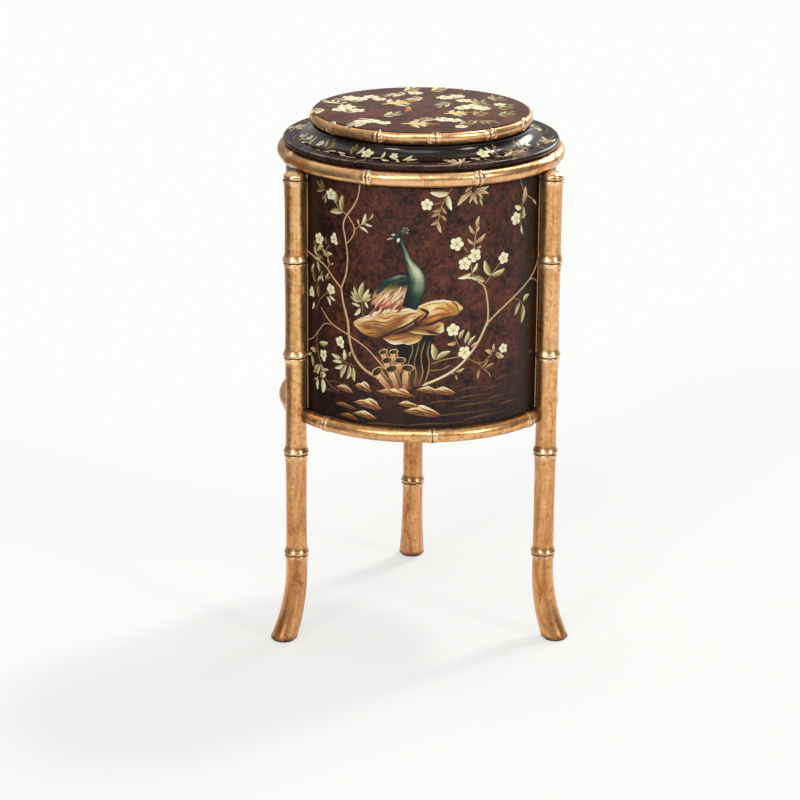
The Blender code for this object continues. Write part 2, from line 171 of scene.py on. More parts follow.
class Wire:
    """A shader value whose operators add Math nodes to its tree."""

    def __init__(self, tree: bpy.types.NodeTree, socket: bpy.types.NodeSocket) -> None:
        """Wraps one output socket."""
        self.tree = tree
        self.socket = socket

    def math(self, operation: str, *others: "Wire | float", first: "Wire | float | None" = None) -> "Wire":
        """Adds one Math node.

        Args:
            operation: The node's operation.
            others: The operands after this value.
            first: An operand that goes before this value, for reflected operators.

        Returns:
            The node's result.
        """
        node = self.tree.nodes.new("ShaderNodeMath")
        node.operation = operation
        operands = [self, *others] if first is None else [first, self]
        for socket, operand in zip(node.inputs, operands):
            if isinstance(operand, Wire):
                self.tree.links.new(operand.socket, socket)
            else:
                socket.default_value = operand
        return Wire(self.tree, node.outputs[0])

    def __add__(self, other: "Wire | float") -> "Wire":
        """This value plus another."""
        return self.math("ADD", other)

    __radd__ = __add__

    def __sub__(self, other: "Wire | float") -> "Wire":
        """This value minus another."""
        return self.math("SUBTRACT", other)

    def __rsub__(self, other: float) -> "Wire":
        """A number minus this value."""
        return self.math("SUBTRACT", first=other)

    def __mul__(self, other: "Wire | float") -> "Wire":
        """This value times another."""
        return self.math("MULTIPLY", other)

    __rmul__ = __mul__

    def __pow__(self, other: float) -> "Wire":
        """This value raised to a power."""
        return self.math("POWER", other)

    def at_least(self, other: "Wire | float") -> "Wire":
        """The larger of this value and another."""
        return self.math("MAXIMUM", other)

    def eased(self, low: float, high: float) -> "Wire":
        """0 below low, 1 above high, and a smooth step between; low may be above high.

        Args:
            low: Where the result is 0.
            high: Where it is 1.

        Returns:
            The eased value.
        """
        node = self.tree.nodes.new("ShaderNodeMapRange")
        node.interpolation_type = "SMOOTHSTEP"
        self.tree.links.new(self.socket, node.inputs["Value"])
        rising = low < high
        node.inputs["From Min"].default_value = min(low, high)
        node.inputs["From Max"].default_value = max(low, high)
        node.inputs["To Min"].default_value = 0.0 if rising else 1.0
        node.inputs["To Max"].default_value = 1.0 if rising else 0.0
        return Wire(self.tree, node.outputs[0])


Operand = Wire | float | tuple[float, ...]


class Recipe:
    """The node tree of one material or world, filled one node at a time."""

    def __init__(self, owner: Material | bpy.types.World) -> None:
        """Starts with an empty tree.

        Args:
            owner: The material or world.
        """
        owner.use_nodes = True
        self.owner = owner
        self.tree = owner.node_tree
        self.tree.nodes.clear()

    @classmethod
    def begin(cls, name: str) -> tuple["Recipe", Wire]:
        """Starts a material: its recipe, and the surface point in the frame's own metres."""
        recipe = cls(bpy.data.materials.new(name))
        return recipe, recipe.node("ShaderNodeTexCoord", output="Object")

    def node(
        self, kind: str, settings: Mapping[str, object] | None = None,
        sockets: Mapping[str | int, Operand] | None = None, output: str | int = 0,
    ) -> Wire:
        """Adds any node.

        Args:
            kind: The node's type.
            settings: Its properties, set first; "stops" are a ramp's positions and colours.
            sockets: The values or links of its inputs, by name or number.
            output: The output that is wanted.

        Returns:
            That output.
        """
        node = self.tree.nodes.new(kind)
        for name, value in (settings or {}).items():
            if name == "stops":
                self.set_stops(node, value)
            else:
                setattr(node, name, value)
        for name, value in (sockets or {}).items():
            if isinstance(value, Wire):
                self.tree.links.new(value.socket, node.inputs[name])
            else:
                node.inputs[name].default_value = value
        return Wire(self.tree, node.outputs[output] if node.outputs else None)

    @staticmethod
    def set_stops(node: bpy.types.Node, stops: Sequence[tuple[float, Colour]]) -> None:
        """Sets the stops of a Color Ramp, which starts with two.

        Args:
            node: The ramp.
            stops: Positions and colours.
        """
        elements = node.color_ramp.elements
        while len(elements) < len(stops):
            elements.new(1.0)
        for element, (position, colour) in zip(elements, stops):
            element.position = position
            element.color = (*colour, 1.0)

    def ramp(self, value: Wire, *stops: tuple[float, Colour]) -> Wire:
        """A colour that changes with a value."""
        return self.node("ShaderNodeValToRGB", {"stops": stops}, {"Fac": value})

    def blend(self, share: Operand, under: Operand, over: Operand, mode: str = "MIX") -> Wire:
        """Mixes two colours.

        Args:
            share: How much of the second colour is laid over the first.
            under: The first colour.
            over: The second colour.
            mode: The blend mode.

        Returns:
            The mixed colour.
        """
        under, over = (c if isinstance(c, Wire) else (*c, 1.0) for c in (under, over))
        settings = {"data_type": "RGBA", "blend_type": mode}
        return self.node("ShaderNodeMix", settings, {0: share, 6: under, 7: over}, 2)

    def axes(self, vector: Wire) -> tuple[Wire, ...]:
        """The three parts of a vector."""
        return tuple(self.node("ShaderNodeSeparateXYZ", None, {0: vector}, axis) for axis in "XYZ")

    def attribute(self, name: str, output: str) -> Wire:
        """An attribute of the mesh: its Vector, Color or Fac."""
        return self.node("ShaderNodeAttribute", {"attribute_name": name}, output=output)

    def noise(
        self, vector: Wire, scale: float | tuple[float, ...], detail: float, roughness: float,
        warp: float = 0.0,
    ) -> Wire:
        """Cloudy noise from 0 to 1.

        Args:
            vector: Where it is read.
            scale: Blotches in a metre, in all or along each axis.
            detail: Number of finer octaves.
            roughness: Strength of the finer octaves.
            warp: How far the noise is distorted by itself.

        Returns:
            The noise value.
        """
        if isinstance(scale, tuple):
            vector, scale = self.node("ShaderNodeMapping", None, {"Vector": vector, "Scale": scale}), 1.0
        sockets = {
            "Vector": vector, "Scale": scale, "Detail": detail, "Roughness": roughness, "Distortion": warp
        }
        return self.node("ShaderNodeTexNoise", None, sockets)

    def relief(self, height: Wire, depth: float, strength: float) -> Wire:
        """A bumped normal from a height of 0 to 1 that stands for a depth in metres."""
        return self.node("ShaderNodeBump", None, {"Height": height, "Distance": depth, "Strength": strength})

    def surface(
        self, colour: Operand, roughness: Operand, normal: Wire, others: Mapping[str, Operand] | None = None
    ) -> Material:
        """Ends the material in a Principled BSDF.

        Args:
            colour: Its base colour.
            roughness: Its roughness.
            normal: Its bumped normal.
            others: Any other inputs, by name.

        Returns:
            The material.
        """
        sockets = {"Base Color": colour, "Roughness": roughness, "Normal": normal, **(others or {})}
        shader = self.node("ShaderNodeBsdfPrincipled", None, sockets)
        self.node("ShaderNodeOutputMaterial", None, {"Surface": shader})
        return self.owner


# Finishes


@dataclass(frozen=True)
class GiltFinish:
    """Metal leaf over brown bole: wear and painted highlight on the high spots, dark grooves, painted shade
    below the drum.
    """

    name: str = "gilt_bamboo"
    bright: Colour = (1.0, 0.68, 0.35)
    leaf: Colour = (0.84, 0.43, 0.165)
    shade: Colour = (0.46, 0.175, 0.055)
    scuff_and_shade: Colour = (0.36, 0.10, 0.024)
    orange: Colour = (1.0, 0.61, 0.30)
    bole: Colour = (0.150, 0.048, 0.017)
    grime_and_shade: Colour = (0.055, 0.020, 0.008)
    rubbed_highlight: Colour = (1.0, 0.80, 0.52)
    hoops: float = 0.578
    hoops_blend: float = 6.0 * MM
    shade_start: float = 0.30
    shade_full: float = 0.18

    def material(self) -> Material:
        """Builds the gilding from the cane's own "strand" and "rub" attributes.

        Returns:
            The material.
        """
        recipe, place = Recipe.begin(self.name)
        strand = recipe.attribute("strand", "Vector")
        wear_and_light = recipe.attribute("wear_and_light", "Fac")
        fibres = recipe.noise(strand, (26, 520, 520), 4, 0.6, 0.3)
        streaks = recipe.noise(strand, (9, 150, 150), 3, 0.55, 0.6)
        mottle = recipe.noise(strand, 170, 5, 0.68, 0.5)
        blotch = recipe.noise(strand, (22, 60, 60), 3, 0.6, 0.8)
        specks = recipe.noise(strand, 900, 2, 0.6)
        grain = streaks * 0.22 + mottle * 0.52 + fibres * 0.26
        gilding = recipe.ramp(grain, (0.38, self.shade), (0.49, self.leaf), (0.62, self.bright))
        wear_and_highlight = (blotch * 0.45 + fibres * 0.35 + mottle * 0.20).eased(0.52, 0.68) * 0.55
        z = recipe.node("ShaderNodeSeparateXYZ", None, {0: place}, "Z")
        bare = z.eased(self.hoops - self.hoops_blend, self.hoops + self.hoops_blend)
        gilding = recipe.blend(bare * 0.5, gilding, self.orange)
        gilding = recipe.blend(bare * blotch.eased(0.46, 0.60) * 0.7, gilding, self.shade)
        colour = recipe.blend(wear_and_highlight, gilding, self.bole)
        # Painted highlight: the high spots and the cap's dome are lightened to pale gold, for wear and for
        # the light they catch.
        high = wear_and_light.eased(0.15, 1.0) * mottle.eased(0.30, 0.55)
        colour = recipe.blend(high * 0.75, colour, self.rubbed_highlight)
        # Dark grooves are dirt; under the hoops and at the rail ends this darkening is painted shade.
        low = (wear_and_light * -1.0 + (blotch - 0.5) * 0.5).eased(0.05, 0.75)
        colour = recipe.blend(low * 0.92, colour, self.grime_and_shade)
        pits = specks.eased(0.66, 0.74) * 0.5
        colour = recipe.blend(pits, colour, self.bole)
        # Painted shade: below the drum the legs are darkened, in streaks and in red-brown scuffs.
        below = z.eased(self.shade_start, self.shade_full)
        colour = recipe.blend(below * (streaks.eased(0.44, 0.58) * 0.55 + 0.10), colour, self.shade)
        scuff_and_shade_mask = (mottle * 0.55 + blotch * 0.45).eased(0.49, 0.62)
        colour = recipe.blend(below * scuff_and_shade_mask * 0.75, colour, self.scuff_and_shade)
        roughness = 0.24 + mottle * 0.16 + wear_and_highlight * 0.16 + low * 0.2 - high * 0.07 - bare * 0.03
        height = (fibres * 0.45 + mottle * 0.4 + specks * 0.15 - wear_and_highlight * 0.15) * (1.0 - bare * 0.9)
        normal = recipe.relief(height, 0.25 * MM, 0.34)
        return recipe.surface(colour, roughness, normal, {"Metallic": 0.94 - wear_and_highlight * 0.30 - low * 0.4})


@dataclass(frozen=True)
class LacquerFinish:
    """Dark red-brown japanning, mottled like tortoiseshell and shaded to black at the panels' edges."""

    name: str = "painted_lacquer"
    ground: Colour = (0.073, 0.0245, 0.0145)
    red: Colour = (0.150, 0.044, 0.022)
    dark: Colour = (0.0150, 0.0060, 0.0042)
    black: Colour = (0.0050, 0.0032, 0.0026)
    foot: float = 0.274
    foot_shade: float = 0.120
    panels: bool = True

    def edge_shade(self, recipe: Recipe, place: Wire) -> Wire:
        """Darkening beside the legs and above the foot of the drum.

        Args:
            recipe: The material in the making.
            place: The surface point.

        Returns:
            The shade, 0 in the middle of a panel.
        """
        x, y, z = recipe.axes(place)
        turn = (x - AXIS.x).math("ARCTAN2", AXIS.y - y)
        beside_leg = (turn * 3.0).math("COSINE").eased(-0.35, -1.0)
        near_foot = (z - self.foot).eased(self.foot_shade, 0.0)
        return beside_leg * 0.8 + near_foot * 0.85 - beside_leg * near_foot * 0.68

    def material(self) -> Material:
        """Builds the japanned ground.

        Returns:
            The material.
        """
        recipe, place = Recipe.begin(self.name)
        clouds = recipe.noise(place, 26, 3, 0.55, 0.5)
        burl = recipe.noise(place, 105, 5, 0.66, 1.4)
        spots = recipe.noise(place, (170, 170, 120), 3, 0.6, 1.0)
        dust = recipe.noise(place, 900, 2, 0.5)
        figure = burl * 0.66 + clouds * 0.34
        colour = recipe.ramp(figure, (0.38, self.dark), (0.50, self.ground), (0.63, self.red))
        colour = recipe.blend(spots.eased(0.53, 0.66) * 0.8, colour, self.dark)
        if self.panels:
            colour = recipe.blend(self.edge_shade(recipe, place), colour, self.black)
        wear = dust.eased(0.60, 0.75) * 0.06
        normal = recipe.relief(burl * 0.5 + dust * 0.12 + spots * 0.3, 0.12 * MM, 0.35)
        return recipe.surface(colour, 0.24 + burl * 0.16 + wear, normal, {"Specular IOR Level": 0.20})


@dataclass(frozen=True)
class BlackFinish:
    """Glossy dark japanning of the lid's neck and shoulder, with a painted highlight line along the edge."""

    name: str = "black_lacquer"
    black: Colour = (0.0070, 0.0046, 0.0038)
    brown: Colour = (0.060, 0.0260, 0.0180)
    wear_and_highlight: Colour = (0.46, 0.38, 0.31)
    neck: float = 0.142
    shoulder: float = 0.157
    edge: float = 0.1618
    edge_level: float = 0.602
    highlight_core: float = 0.3 * MM
    highlight_fade: float = 1.1 * MM

    def material(self) -> Material:
        """Builds a brown shoulder that is black on the neck, with a painted highlight line along its edge,
        laid like wear.

        Returns:
            The material.
        """
        recipe, place = Recipe.begin(self.name)
        x, y, z = recipe.axes(place)
        radius = ((x - AXIS.x) ** 2.0 + (y - AXIS.y) ** 2.0) ** 0.5
        clouds = recipe.noise(place, 34, 4, 0.6, 0.7)
        flecks = recipe.noise(place, 150, 4, 0.65, 1.0)
        dust = recipe.noise(place, 1100, 2, 0.5)
        colour = recipe.ramp(clouds * 0.5 + flecks * 0.5, (0.38, self.black), (0.60, self.brown))
        colour = recipe.blend(radius.eased(self.shoulder, self.neck) * 0.75, colour, self.black)
        # Painted highlight: a pale line along the top of the bullnose, where the edge catches light.
        line = (radius - self.edge).math("ABSOLUTE").eased(self.highlight_fade, self.highlight_core)
        line = line * z.eased(self.edge_level, self.edge_level + MM)
        colour = recipe.blend(line * (0.15 + clouds.eased(0.45, 0.65) * 0.35), colour, self.wear_and_highlight)
        roughness = 0.16 + flecks * 0.12 + dust.eased(0.6, 0.8) * 0.10
        others = {
            "Specular IOR Level": 0.22,
            "Specular Tint": (0.40, 0.35, 0.32, 1.0),
            "Coat Weight": radius.eased(self.neck + 5 * MM, self.neck - 2 * MM) * 0.8,
            "Coat Roughness": 0.14,
            "Coat IOR": 1.5,
        }
        normal = recipe.relief(clouds * 0.8 + flecks * 0.2, 0.06 * MM, 0.25)
        return recipe.surface(colour, roughness, normal, others)


@dataclass(frozen=True)
class WoodFinish:
    """Stained softwood, planed, with its grain along one side of the table."""

    name: str = "inner_wood"
    light: Colour = (0.150, 0.068, 0.031)
    dark: Colour = (0.052, 0.021, 0.010)
    grain: tuple[float, float, float] = (7.0, 120.0, 120.0)

    def material(self) -> Material:
        """Builds the grain from stretched noise and rings.

        Returns:
            The material.
        """
        recipe, place = Recipe.begin(self.name)
        bands = recipe.noise(place, self.grain, 4, 0.6, 1.2)
        pores = recipe.noise(place, tuple(4 * side for side in self.grain), 3, 0.7)
        figure = (bands * 9.0).math("SINE") * 0.5 + 0.5
        colour = recipe.ramp(
            figure * 0.45 + bands * 0.35 + pores * 0.2, (0.25, self.dark), (0.75, self.light)
        )
        normal = recipe.relief(pores * 0.7 + figure * 0.3, 0.25 * MM, 0.5)
        return recipe.surface(colour, 0.52 + pores * 0.22, normal)


@dataclass(frozen=True)
class FeltFinish:
    """Brown wool felt."""

    name: str = "foot_felt"
    light: Colour = (0.060, 0.042, 0.032)
    dark: Colour = (0.018, 0.012, 0.009)

    def material(self) -> Material:
        """Builds matted fibres.

        Returns:
            The material.
        """
        recipe, place = Recipe.begin(self.name)
        fibres = recipe.noise(place, (2600, 900, 1500), 3, 0.7, 1.5)
        clumps = recipe.noise(place, 420, 3, 0.6)
        colour = recipe.ramp(fibres * 0.6 + clumps * 0.4, (0.3, self.dark), (0.7, self.light))
        return recipe.surface(colour, 0.88 + fibres * 0.1, recipe.relief(fibres, 0.3 * MM, 0.9))


@dataclass(frozen=True)
class ScrewFinish:
    """Old brass screws, dulled by handling."""

    name: str = "screw_metal"
    bright: Colour = (0.62, 0.46, 0.24)
    dull: Colour = (0.20, 0.125, 0.060)

    def material(self) -> Material:
        """Builds tarnished brass.

        Returns:
            The material.
        """
        recipe, place = Recipe.begin(self.name)
        tarnish = recipe.noise(place, 480, 4, 0.65, 0.6)
        scratch = recipe.noise(place, (400, 3200, 2400), 2, 0.5)
        colour = recipe.ramp(tarnish, (0.36, self.dull), (0.62, self.bright))
        normal = recipe.relief(scratch, 0.05 * MM, 0.5)
        return recipe.surface(colour, 0.28 + tarnish * 0.25, normal, {"Metallic": 1.0})


@dataclass
class Palette:
    """The finished materials of the table, each made once."""

    gilt: Material = field(default_factory=GiltFinish().material)
    drum: Material = field(default_factory=LacquerFinish().material)
    board: Material = field(
        default_factory=LacquerFinish(
            "board_lacquer", (0.110, 0.0360, 0.0210), (0.200, 0.060, 0.030), (0.032, 0.0120, 0.0080),
            panels=False,
        ).material
    )
    black: Material = field(default_factory=BlackFinish().material)
    wood: Material = field(default_factory=WoodFinish().material)
    felt: Material = field(default_factory=FeltFinish().material)
    screw: Material = field(default_factory=ScrewFinish().material)


# Meshes


@dataclass(frozen=True)
class Arris:
    """How the corners of a turned profile are eased: by what radius and in how many facets."""

    radius: float = 0.6 * MM
    segments: int = 3


class Workpiece:
    """A bmesh that is shaped by operators and then becomes one piece of the table."""

    def __init__(self) -> None:
        """Starts with an empty mesh."""
        self.bm = bmesh.new()

    def turned(
        self, profile: Line, steps: int, closed: bool = False, arris: Arris | None = None,
        centre: Vector = AXIS,
    ) -> "Workpiece":
        """Turns a profile about an upright axis.

        Args:
            profile: Radius and height of its corners.
            steps: Facets round the piece.
            closed: Whether the profile is a ring; if not, its ends lie on the axis.
            arris: The easing of its corners.
            centre: The foot of the axis.

        Returns:
            This workpiece.
        """
        bm = self.bm
        verts = [bm.verts.new(centre + Vector((radius, 0, height))) for radius, height in profile]
        for pair in zip(verts, verts[1:] + (verts[:1] if closed else [])):
            bm.edges.new(pair)
        if arris:
            corners = [vert for vert in verts if len(vert.link_edges) == 2]
            bmesh.ops.bevel(
                bm, geom=corners, offset=arris.radius, offset_type="OFFSET", affect="VERTICES",
                segments=arris.segments, profile=0.5, material=-1,
            )
        geom = bm.verts[:] + bm.edges[:]
        bmesh.ops.spin(bm, geom=geom, cent=centre, axis=UP, angle=math.tau, steps=steps, use_merge=True)
        return self.clean()

    def clean(self) -> "Workpiece":
        """Closes seams and poles and turns the faces outwards.

        Returns:
            This workpiece.
        """
        bmesh.ops.remove_doubles(self.bm, verts=self.bm.verts, dist=MERGE)
        bmesh.ops.dissolve_degenerate(self.bm, edges=self.bm.edges, dist=MERGE / 5)
        bmesh.ops.recalc_face_normals(self.bm, faces=self.bm.faces)
        return self

    def piece(
        self, name: str, body: Body, slot: Slot, materials: Sequence[Material],
        replaces: Iterable[str] = (), sharp: float = 38.0,
    ) -> None:
        """Ends the work: the mesh becomes an object that rides on a body.

        Args:
            name: The piece's name.
            body: The body that it moves with.
            slot: The record's material slot; not used.
            materials: Its materials, in the order of the faces' material numbers.
            replaces: The CAD nodes that it stands for.
            sharp: The angle in degrees above which an edge stays sharp.
        """
        mesh = bpy.data.meshes.new(name)
        self.bm.to_mesh(mesh)
        self.bm.free()
        for material in materials:
            mesh.materials.append(material)
        mesh.shade_smooth()
        mesh.set_sharp_from_angle(angle=math.radians(sharp))
        piece = bpy.data.objects.new(name, mesh)
        bpy.context.scene.collection.objects.link(piece)
        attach(piece, body.value)
        if replaces:
            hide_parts(*replaces)
        LOG.info("%s: %d faces on %s", name, len(mesh.polygons), body.value)


# Bamboo canes


SOFT_EDGE = 50.0


@dataclass(frozen=True)
class Knuckle:
    """The joint of a cane: a flare and ridge on one side of a groove, and a lip on the other."""

    ridge: float
    lip: float
    ridge_crest: float
    lip_crest: float
    reach: float
    groove: float = 0.5 * MM
    flare: float = 2.4
    dirt: float = 1.0
    rows: tuple[float, ...] = (0.0, 0.07, 0.2, 0.45, 0.72, 1.0, 1.3, 1.7, 2.2, 2.9, 3.8)
    polish_highlight: float = 0.9
    polish_highlight_start: float = 0.75

    def swell(self, distance: float) -> float:
        """How far the cane swells at a signed distance from the groove, positive on the ridge's side.

        Args:
            distance: The signed distance.

        Returns:
            The swelling.
        """
        crest, height = (self.ridge_crest, self.ridge) if distance >= 0 else (self.lip_crest, self.lip)
        apart = abs(distance)
        if apart <= crest:
            rise = math.sqrt(max(0.0, 1 - ((crest - apart) / crest) ** 2))
            return (height + self.groove) * rise - self.groove
        if apart < self.reach:
            return height * ((self.reach - apart) / (self.reach - crest)) ** self.flare
        return 0.0

    def wear_and_light(self, distance: float) -> float:
        """How much wear and painted highlight (1) or dirt (-1) the gilding has at a signed distance from the
        groove.

        Args:
            distance: The signed distance.

        Returns:
            The wear and painted highlight above 0, the dirt below 0.
        """
        start = (self.ridge_crest if distance >= 0 else self.lip_crest) * self.polish_highlight_start
        apart = abs(distance)
        if apart < start:
            return -self.dirt + (self.dirt + self.polish_highlight) * smooth(apart / start)
        return self.polish_highlight * (1 - smooth((apart - start) / (self.reach - start)))

    def distances(self) -> list[float]:
        """The signed distances at which a cane needs rows of vertices.

        Returns:
            The distances.
        """
        ridge = [self.ridge_crest * row for row in self.rows if self.ridge_crest * row < self.reach]
        lip = [-self.lip_crest * row for row in self.rows[1:] if self.lip_crest * row < self.reach]
        return sorted(lip) + ridge + [self.reach, -self.reach]


@dataclass(frozen=True)
class Station:
    """One row of a cane: its distance along, centre, two axes of the section, radius, and its value of wear,
    painted highlight and shade.
    """

    along: float
    centre: Vector
    across: Vector
    up: Vector
    radius: float
    wear_and_light: float


@dataclass
class Cane:
    """A turned bamboo stem that is lofted through its stations."""

    sides: int = 28
    ripple: float = 0.12 * MM

    def section_radius(self, station: Station, turn: float) -> float:
        """The section's radius at an angle: very slightly out of round, as shaved by hand."""
        wave = math.sin(2 * turn + 37 * station.along) + 0.6 * math.sin(3 * turn - 61 * station.along)
        return station.radius + self.ripple * wave / 2

    def loft(self, work: Workpiece, stations: Sequence[Station], closed: bool) -> None:
        """Extrudes a round section from station to station and writes the grain's attributes.

        Args:
            work: The workpiece.
            stations: The rows in order.
            closed: Whether the last row joins the first.
        """
        bm = work.bm
        strand = bm.verts.layers.float_vector.new("strand")
        wear_and_light = bm.verts.layers.float.new("wear_and_light")
        first = bmesh.ops.create_circle(bm, cap_ends=False, segments=self.sides, radius=1.0)["verts"]
        turns = [math.atan2(vert.co.y, vert.co.x) for vert in first]
        rows = [first]
        for _ in stations[1:]:
            made = bmesh.ops.extrude_edge_only(bm, edges=self.ring_edges(rows[-1]))["geom"]
            new = [item for item in made if isinstance(item, bmesh.types.BMVert)]
            rows.append(self.in_order(rows[-1], set(new)))
        for station, row in zip(stations, rows):
            for vert, turn in zip(row, turns):
                radius = self.section_radius(station, turn)
                side, rise = radius * math.cos(turn), radius * math.sin(turn)
                vert.co = station.centre + station.across * side + station.up * rise
                vert[strand] = (station.along, side, rise)
                vert[wear_and_light] = station.wear_and_light
        ends = [self.ring_edges(row) for row in (rows[0], rows[-1])]
        if closed:
            bmesh.ops.bridge_loops(bm, edges=ends[0] + ends[1])
        else:
            for ring in ends:
                bmesh.ops.contextual_create(bm, geom=ring)
        bmesh.ops.recalc_face_normals(bm, faces=bm.faces)

    @staticmethod
    def ring_edges(row: Sequence[bmesh.types.BMVert]) -> list[bmesh.types.BMEdge]:
        """The edges among a row's own vertices."""
        members = set(row)
        return list({edge for vert in row for edge in vert.link_edges if edge.other_vert(vert) in members})

    @staticmethod
    def in_order(
        row: Sequence[bmesh.types.BMVert], new: set[bmesh.types.BMVert]
    ) -> list[bmesh.types.BMVert]:
        """The vertices of an extruded row, in the order of the row that they came from."""
        others = ((edge.other_vert(vert) for edge in vert.link_edges) for vert in row)
        return [other for group in others for other in group if other in new]


@dataclass
class Legs:
    """Three bamboo legs against the drum's wall, swept out at the foot, with their foot pads."""

    palette: Palette
    radius: float = 12.7 * MM
    waist: float = 0.5 * MM
    cap_height: float = 6.3 * MM
    cap_gap: float = 1.0 * MM
    cap_rise: float = 4.2 * MM
    cap_dome: float = 7.4 * MM
    cap_share: float = 0.25
    internodes: tuple[float, ...] = (98.8 * MM, 115.5 * MM, 120.5 * MM, 128.0 * MM)
    splay: float = 19.5 * MM
    sweep_height: float = 90.0 * MM
    sweep_power: float = 2.1
    foot_radius: float = 16.4 * MM
    foot_ease: float = 1.6 * MM
    pad_round: float = 0.6 * MM
    gap: float = 0.3 * MM
    sunk: float = 0.85 * MM
    ring_gap: float = 0.6 * MM
    sole_share: float = 0.7
    row_pitch: float = 7.0 * MM
    row_least: float = 0.08 * MM
    dome_rows: int = 7
    dome_step: float = 11.5
    dome_wear_and_light: float = 0.6
    sole_rub: float = -0.7
    sole_rows: tuple[float, ...] = (0.0, 0.4 * MM, 0.9 * MM, 1.6 * MM)
    knuckle: Knuckle = Knuckle(2.5 * MM, 1.7 * MM, 3.2 * MM, 1.8 * MM, 10.5 * MM, 0.3 * MM, 1.5)
    cane: Cane = field(default_factory=Cane)

    def __post_init__(self) -> None:
        """Reads the levels and the wall from the frame."""
        self.wall, self.underside, self.mouth = round_size("drum_shell")
        _, self.sole, top = round_size("leg_left")
        self.top = top + self.cap_rise
        self.axis = self.wall + self.radius - self.sunk
        _, ring_low, ring_high = round_size("lid_edge_ring")
        self.ring_reach = (ring_high - ring_low) / 2 + self.ring_gap
        self.ring_centre = Vector((self.wall + GiltHoops.standoff, (ring_low + ring_high) / 2))

    def levels(self) -> list[float]:
        """Heights of the grooves, from the cap down.

        Returns:
            The heights.
        """
        found = [self.mouth - self.cap_gap - self.cap_height]
        for length in self.internodes:
            found.append(found[-1] - length)
        return found

    def centre_distance(self, height: float) -> float:
        """Distance of the leg's centre line from the drum's axis at a height."""
        share = max(0.0, (self.sweep_height - height) / self.sweep_height)
        return self.axis + self.splay * share**self.sweep_power

    def heights(self, levels: Sequence[float]) -> list[float]:
        """The heights of a leg's rows: dense at the knuckles, the cap and the sole, and even between.

        Args:
            levels: Heights of the grooves.

        Returns:
            The heights, rising.
        """
        found = {self.sole + row for row in self.sole_rows}
        for level in levels:
            found |= {level + distance for distance in self.knuckle.distances()}
        count = math.ceil((self.top - self.sole) / self.row_pitch)
        found |= {self.sole + (self.top - self.sole) * step / count for step in range(count)}
        dome = self.top - self.cap_dome
        return thinned((height for height in found if self.sole <= height <= dome), self.row_least)

    def radius_at(self, height: float, levels: Sequence[float]) -> tuple[float, float]:
        """The leg's radius, and its value of wear and painted highlight, at a height.

        Args:
            height: The height above the floor.
            levels: The heights of the grooves.

        Returns:
            The radius and that value.
        """
        radius, wear_and_light = self.radius, 0.0
        for upper, lower in zip(levels, levels[1:]):
            if lower < height < upper:
                radius -= self.waist * math.sin(math.pi * (height - lower) / (upper - lower))
        foot_top = levels[-1] - self.knuckle.reach
        if height < foot_top:
            share = (foot_top - height) / foot_top
            radius += (self.foot_radius - self.radius) * share**2
        for level in levels:
            distance = height - level
            if abs(distance) <= self.knuckle.reach:
                share = self.cap_share if level == levels[0] and distance > 0 else 1.0
                radius += self.knuckle.swell(distance) * share
                wear_and_light = self.knuckle.wear_and_light(distance)
        lift = height - self.sole
        if lift < self.foot_ease:
            bulge = math.sqrt(max(0.0, 1 - (1 - lift / self.foot_ease) ** 2))
            radius -= self.foot_ease * (1 - bulge) * self.sole_share
            wear_and_light = self.sole_rub
        return radius, wear_and_light

    def stations(self, azimuth: float) -> list[Station]:
        """All rows of one leg, from the sole up over the domed cap.

        Args:
            azimuth: Where the leg stands.

        Returns:
            The rows.
        """
        levels = self.levels()
        away_from_drum = outward(azimuth)
        sideways = UP.cross(away_from_drum)
        found = []
        for height in self.heights(levels):
            radius, wear_and_light = self.radius_at(height, levels)
            centre = at_azimuth(azimuth, self.centre_distance(height), height)
            found.append(Station(height, centre, away_from_drum, sideways, radius, wear_and_light))
        rim = found[-1].radius
        # The domed cap is lightened as wear and painted highlight.
        for step in range(1, self.dome_rows + 1):
            angle = math.radians(self.dome_step * step)
            height = self.top - self.cap_dome * (1 - math.sin(angle))
            centre = at_azimuth(azimuth, self.axis, height)
            found.append(
                Station(height, centre, away_from_drum, sideways, rim * math.cos(angle), self.dome_wear_and_light)
            )
        return found

    def scribe(self, work: Workpiece) -> None:
        """Flattens a leg's inner side against the drum's wall, and its cap under the lid's ring.

        Args:
            work: The leg.
        """
        limit = self.wall + self.gap / 3
        for vert in work.bm.verts:
            offset = from_axis(vert.co)
            if vert.co.z > self.underside - self.gap and offset.length < limit:
                vert.co += offset.normalized() * (limit - offset.length)
            beside = max(0.0, self.ring_reach**2 - (offset.length - self.ring_centre.x) ** 2)
            vert.co.z = min(vert.co.z, self.ring_centre.y - math.sqrt(beside)) if beside else vert.co.z

    def build(self) -> None:
        """Builds the legs and their pads."""
        for side, azimuth in LEG_AZIMUTHS.items():
            work = Workpiece()
            self.cane.loft(work, self.stations(azimuth), closed=False)
            self.scribe(work)
            work.piece(
                f"bamboo_leg_{side}", Body.BASE, Slot.GILT, [self.palette.gilt], [f"leg_{side}"], SOFT_EDGE
            )
            self.build_pad(side)

    def build_pad(self, side: str) -> None:
        """Builds the felt disc under one foot.

        Args:
            side: The leg's name.
        """
        node = f"foot_pad_{side}"
        radius, bottom, top = round_size(node)
        work = Workpiece()
        bmesh.ops.create_cone(
            work.bm, cap_ends=True, segments=40, radius1=radius, radius2=radius, depth=top - bottom,
            matrix=Matrix.Translation(sum(node_box(node), Vector()) / 2),
        )
        rims = [edge for edge in work.bm.edges if abs(edge.verts[0].co.z - edge.verts[1].co.z) < MERGE]
        bmesh.ops.bevel(
            work.bm, geom=rims, offset=self.pad_round, affect="EDGES", segments=3, profile=0.5, material=-1
        )
        work.clean().piece(f"felt_pad_{side}", Body.BASE, Slot.FELT, [self.palette.felt], [node])


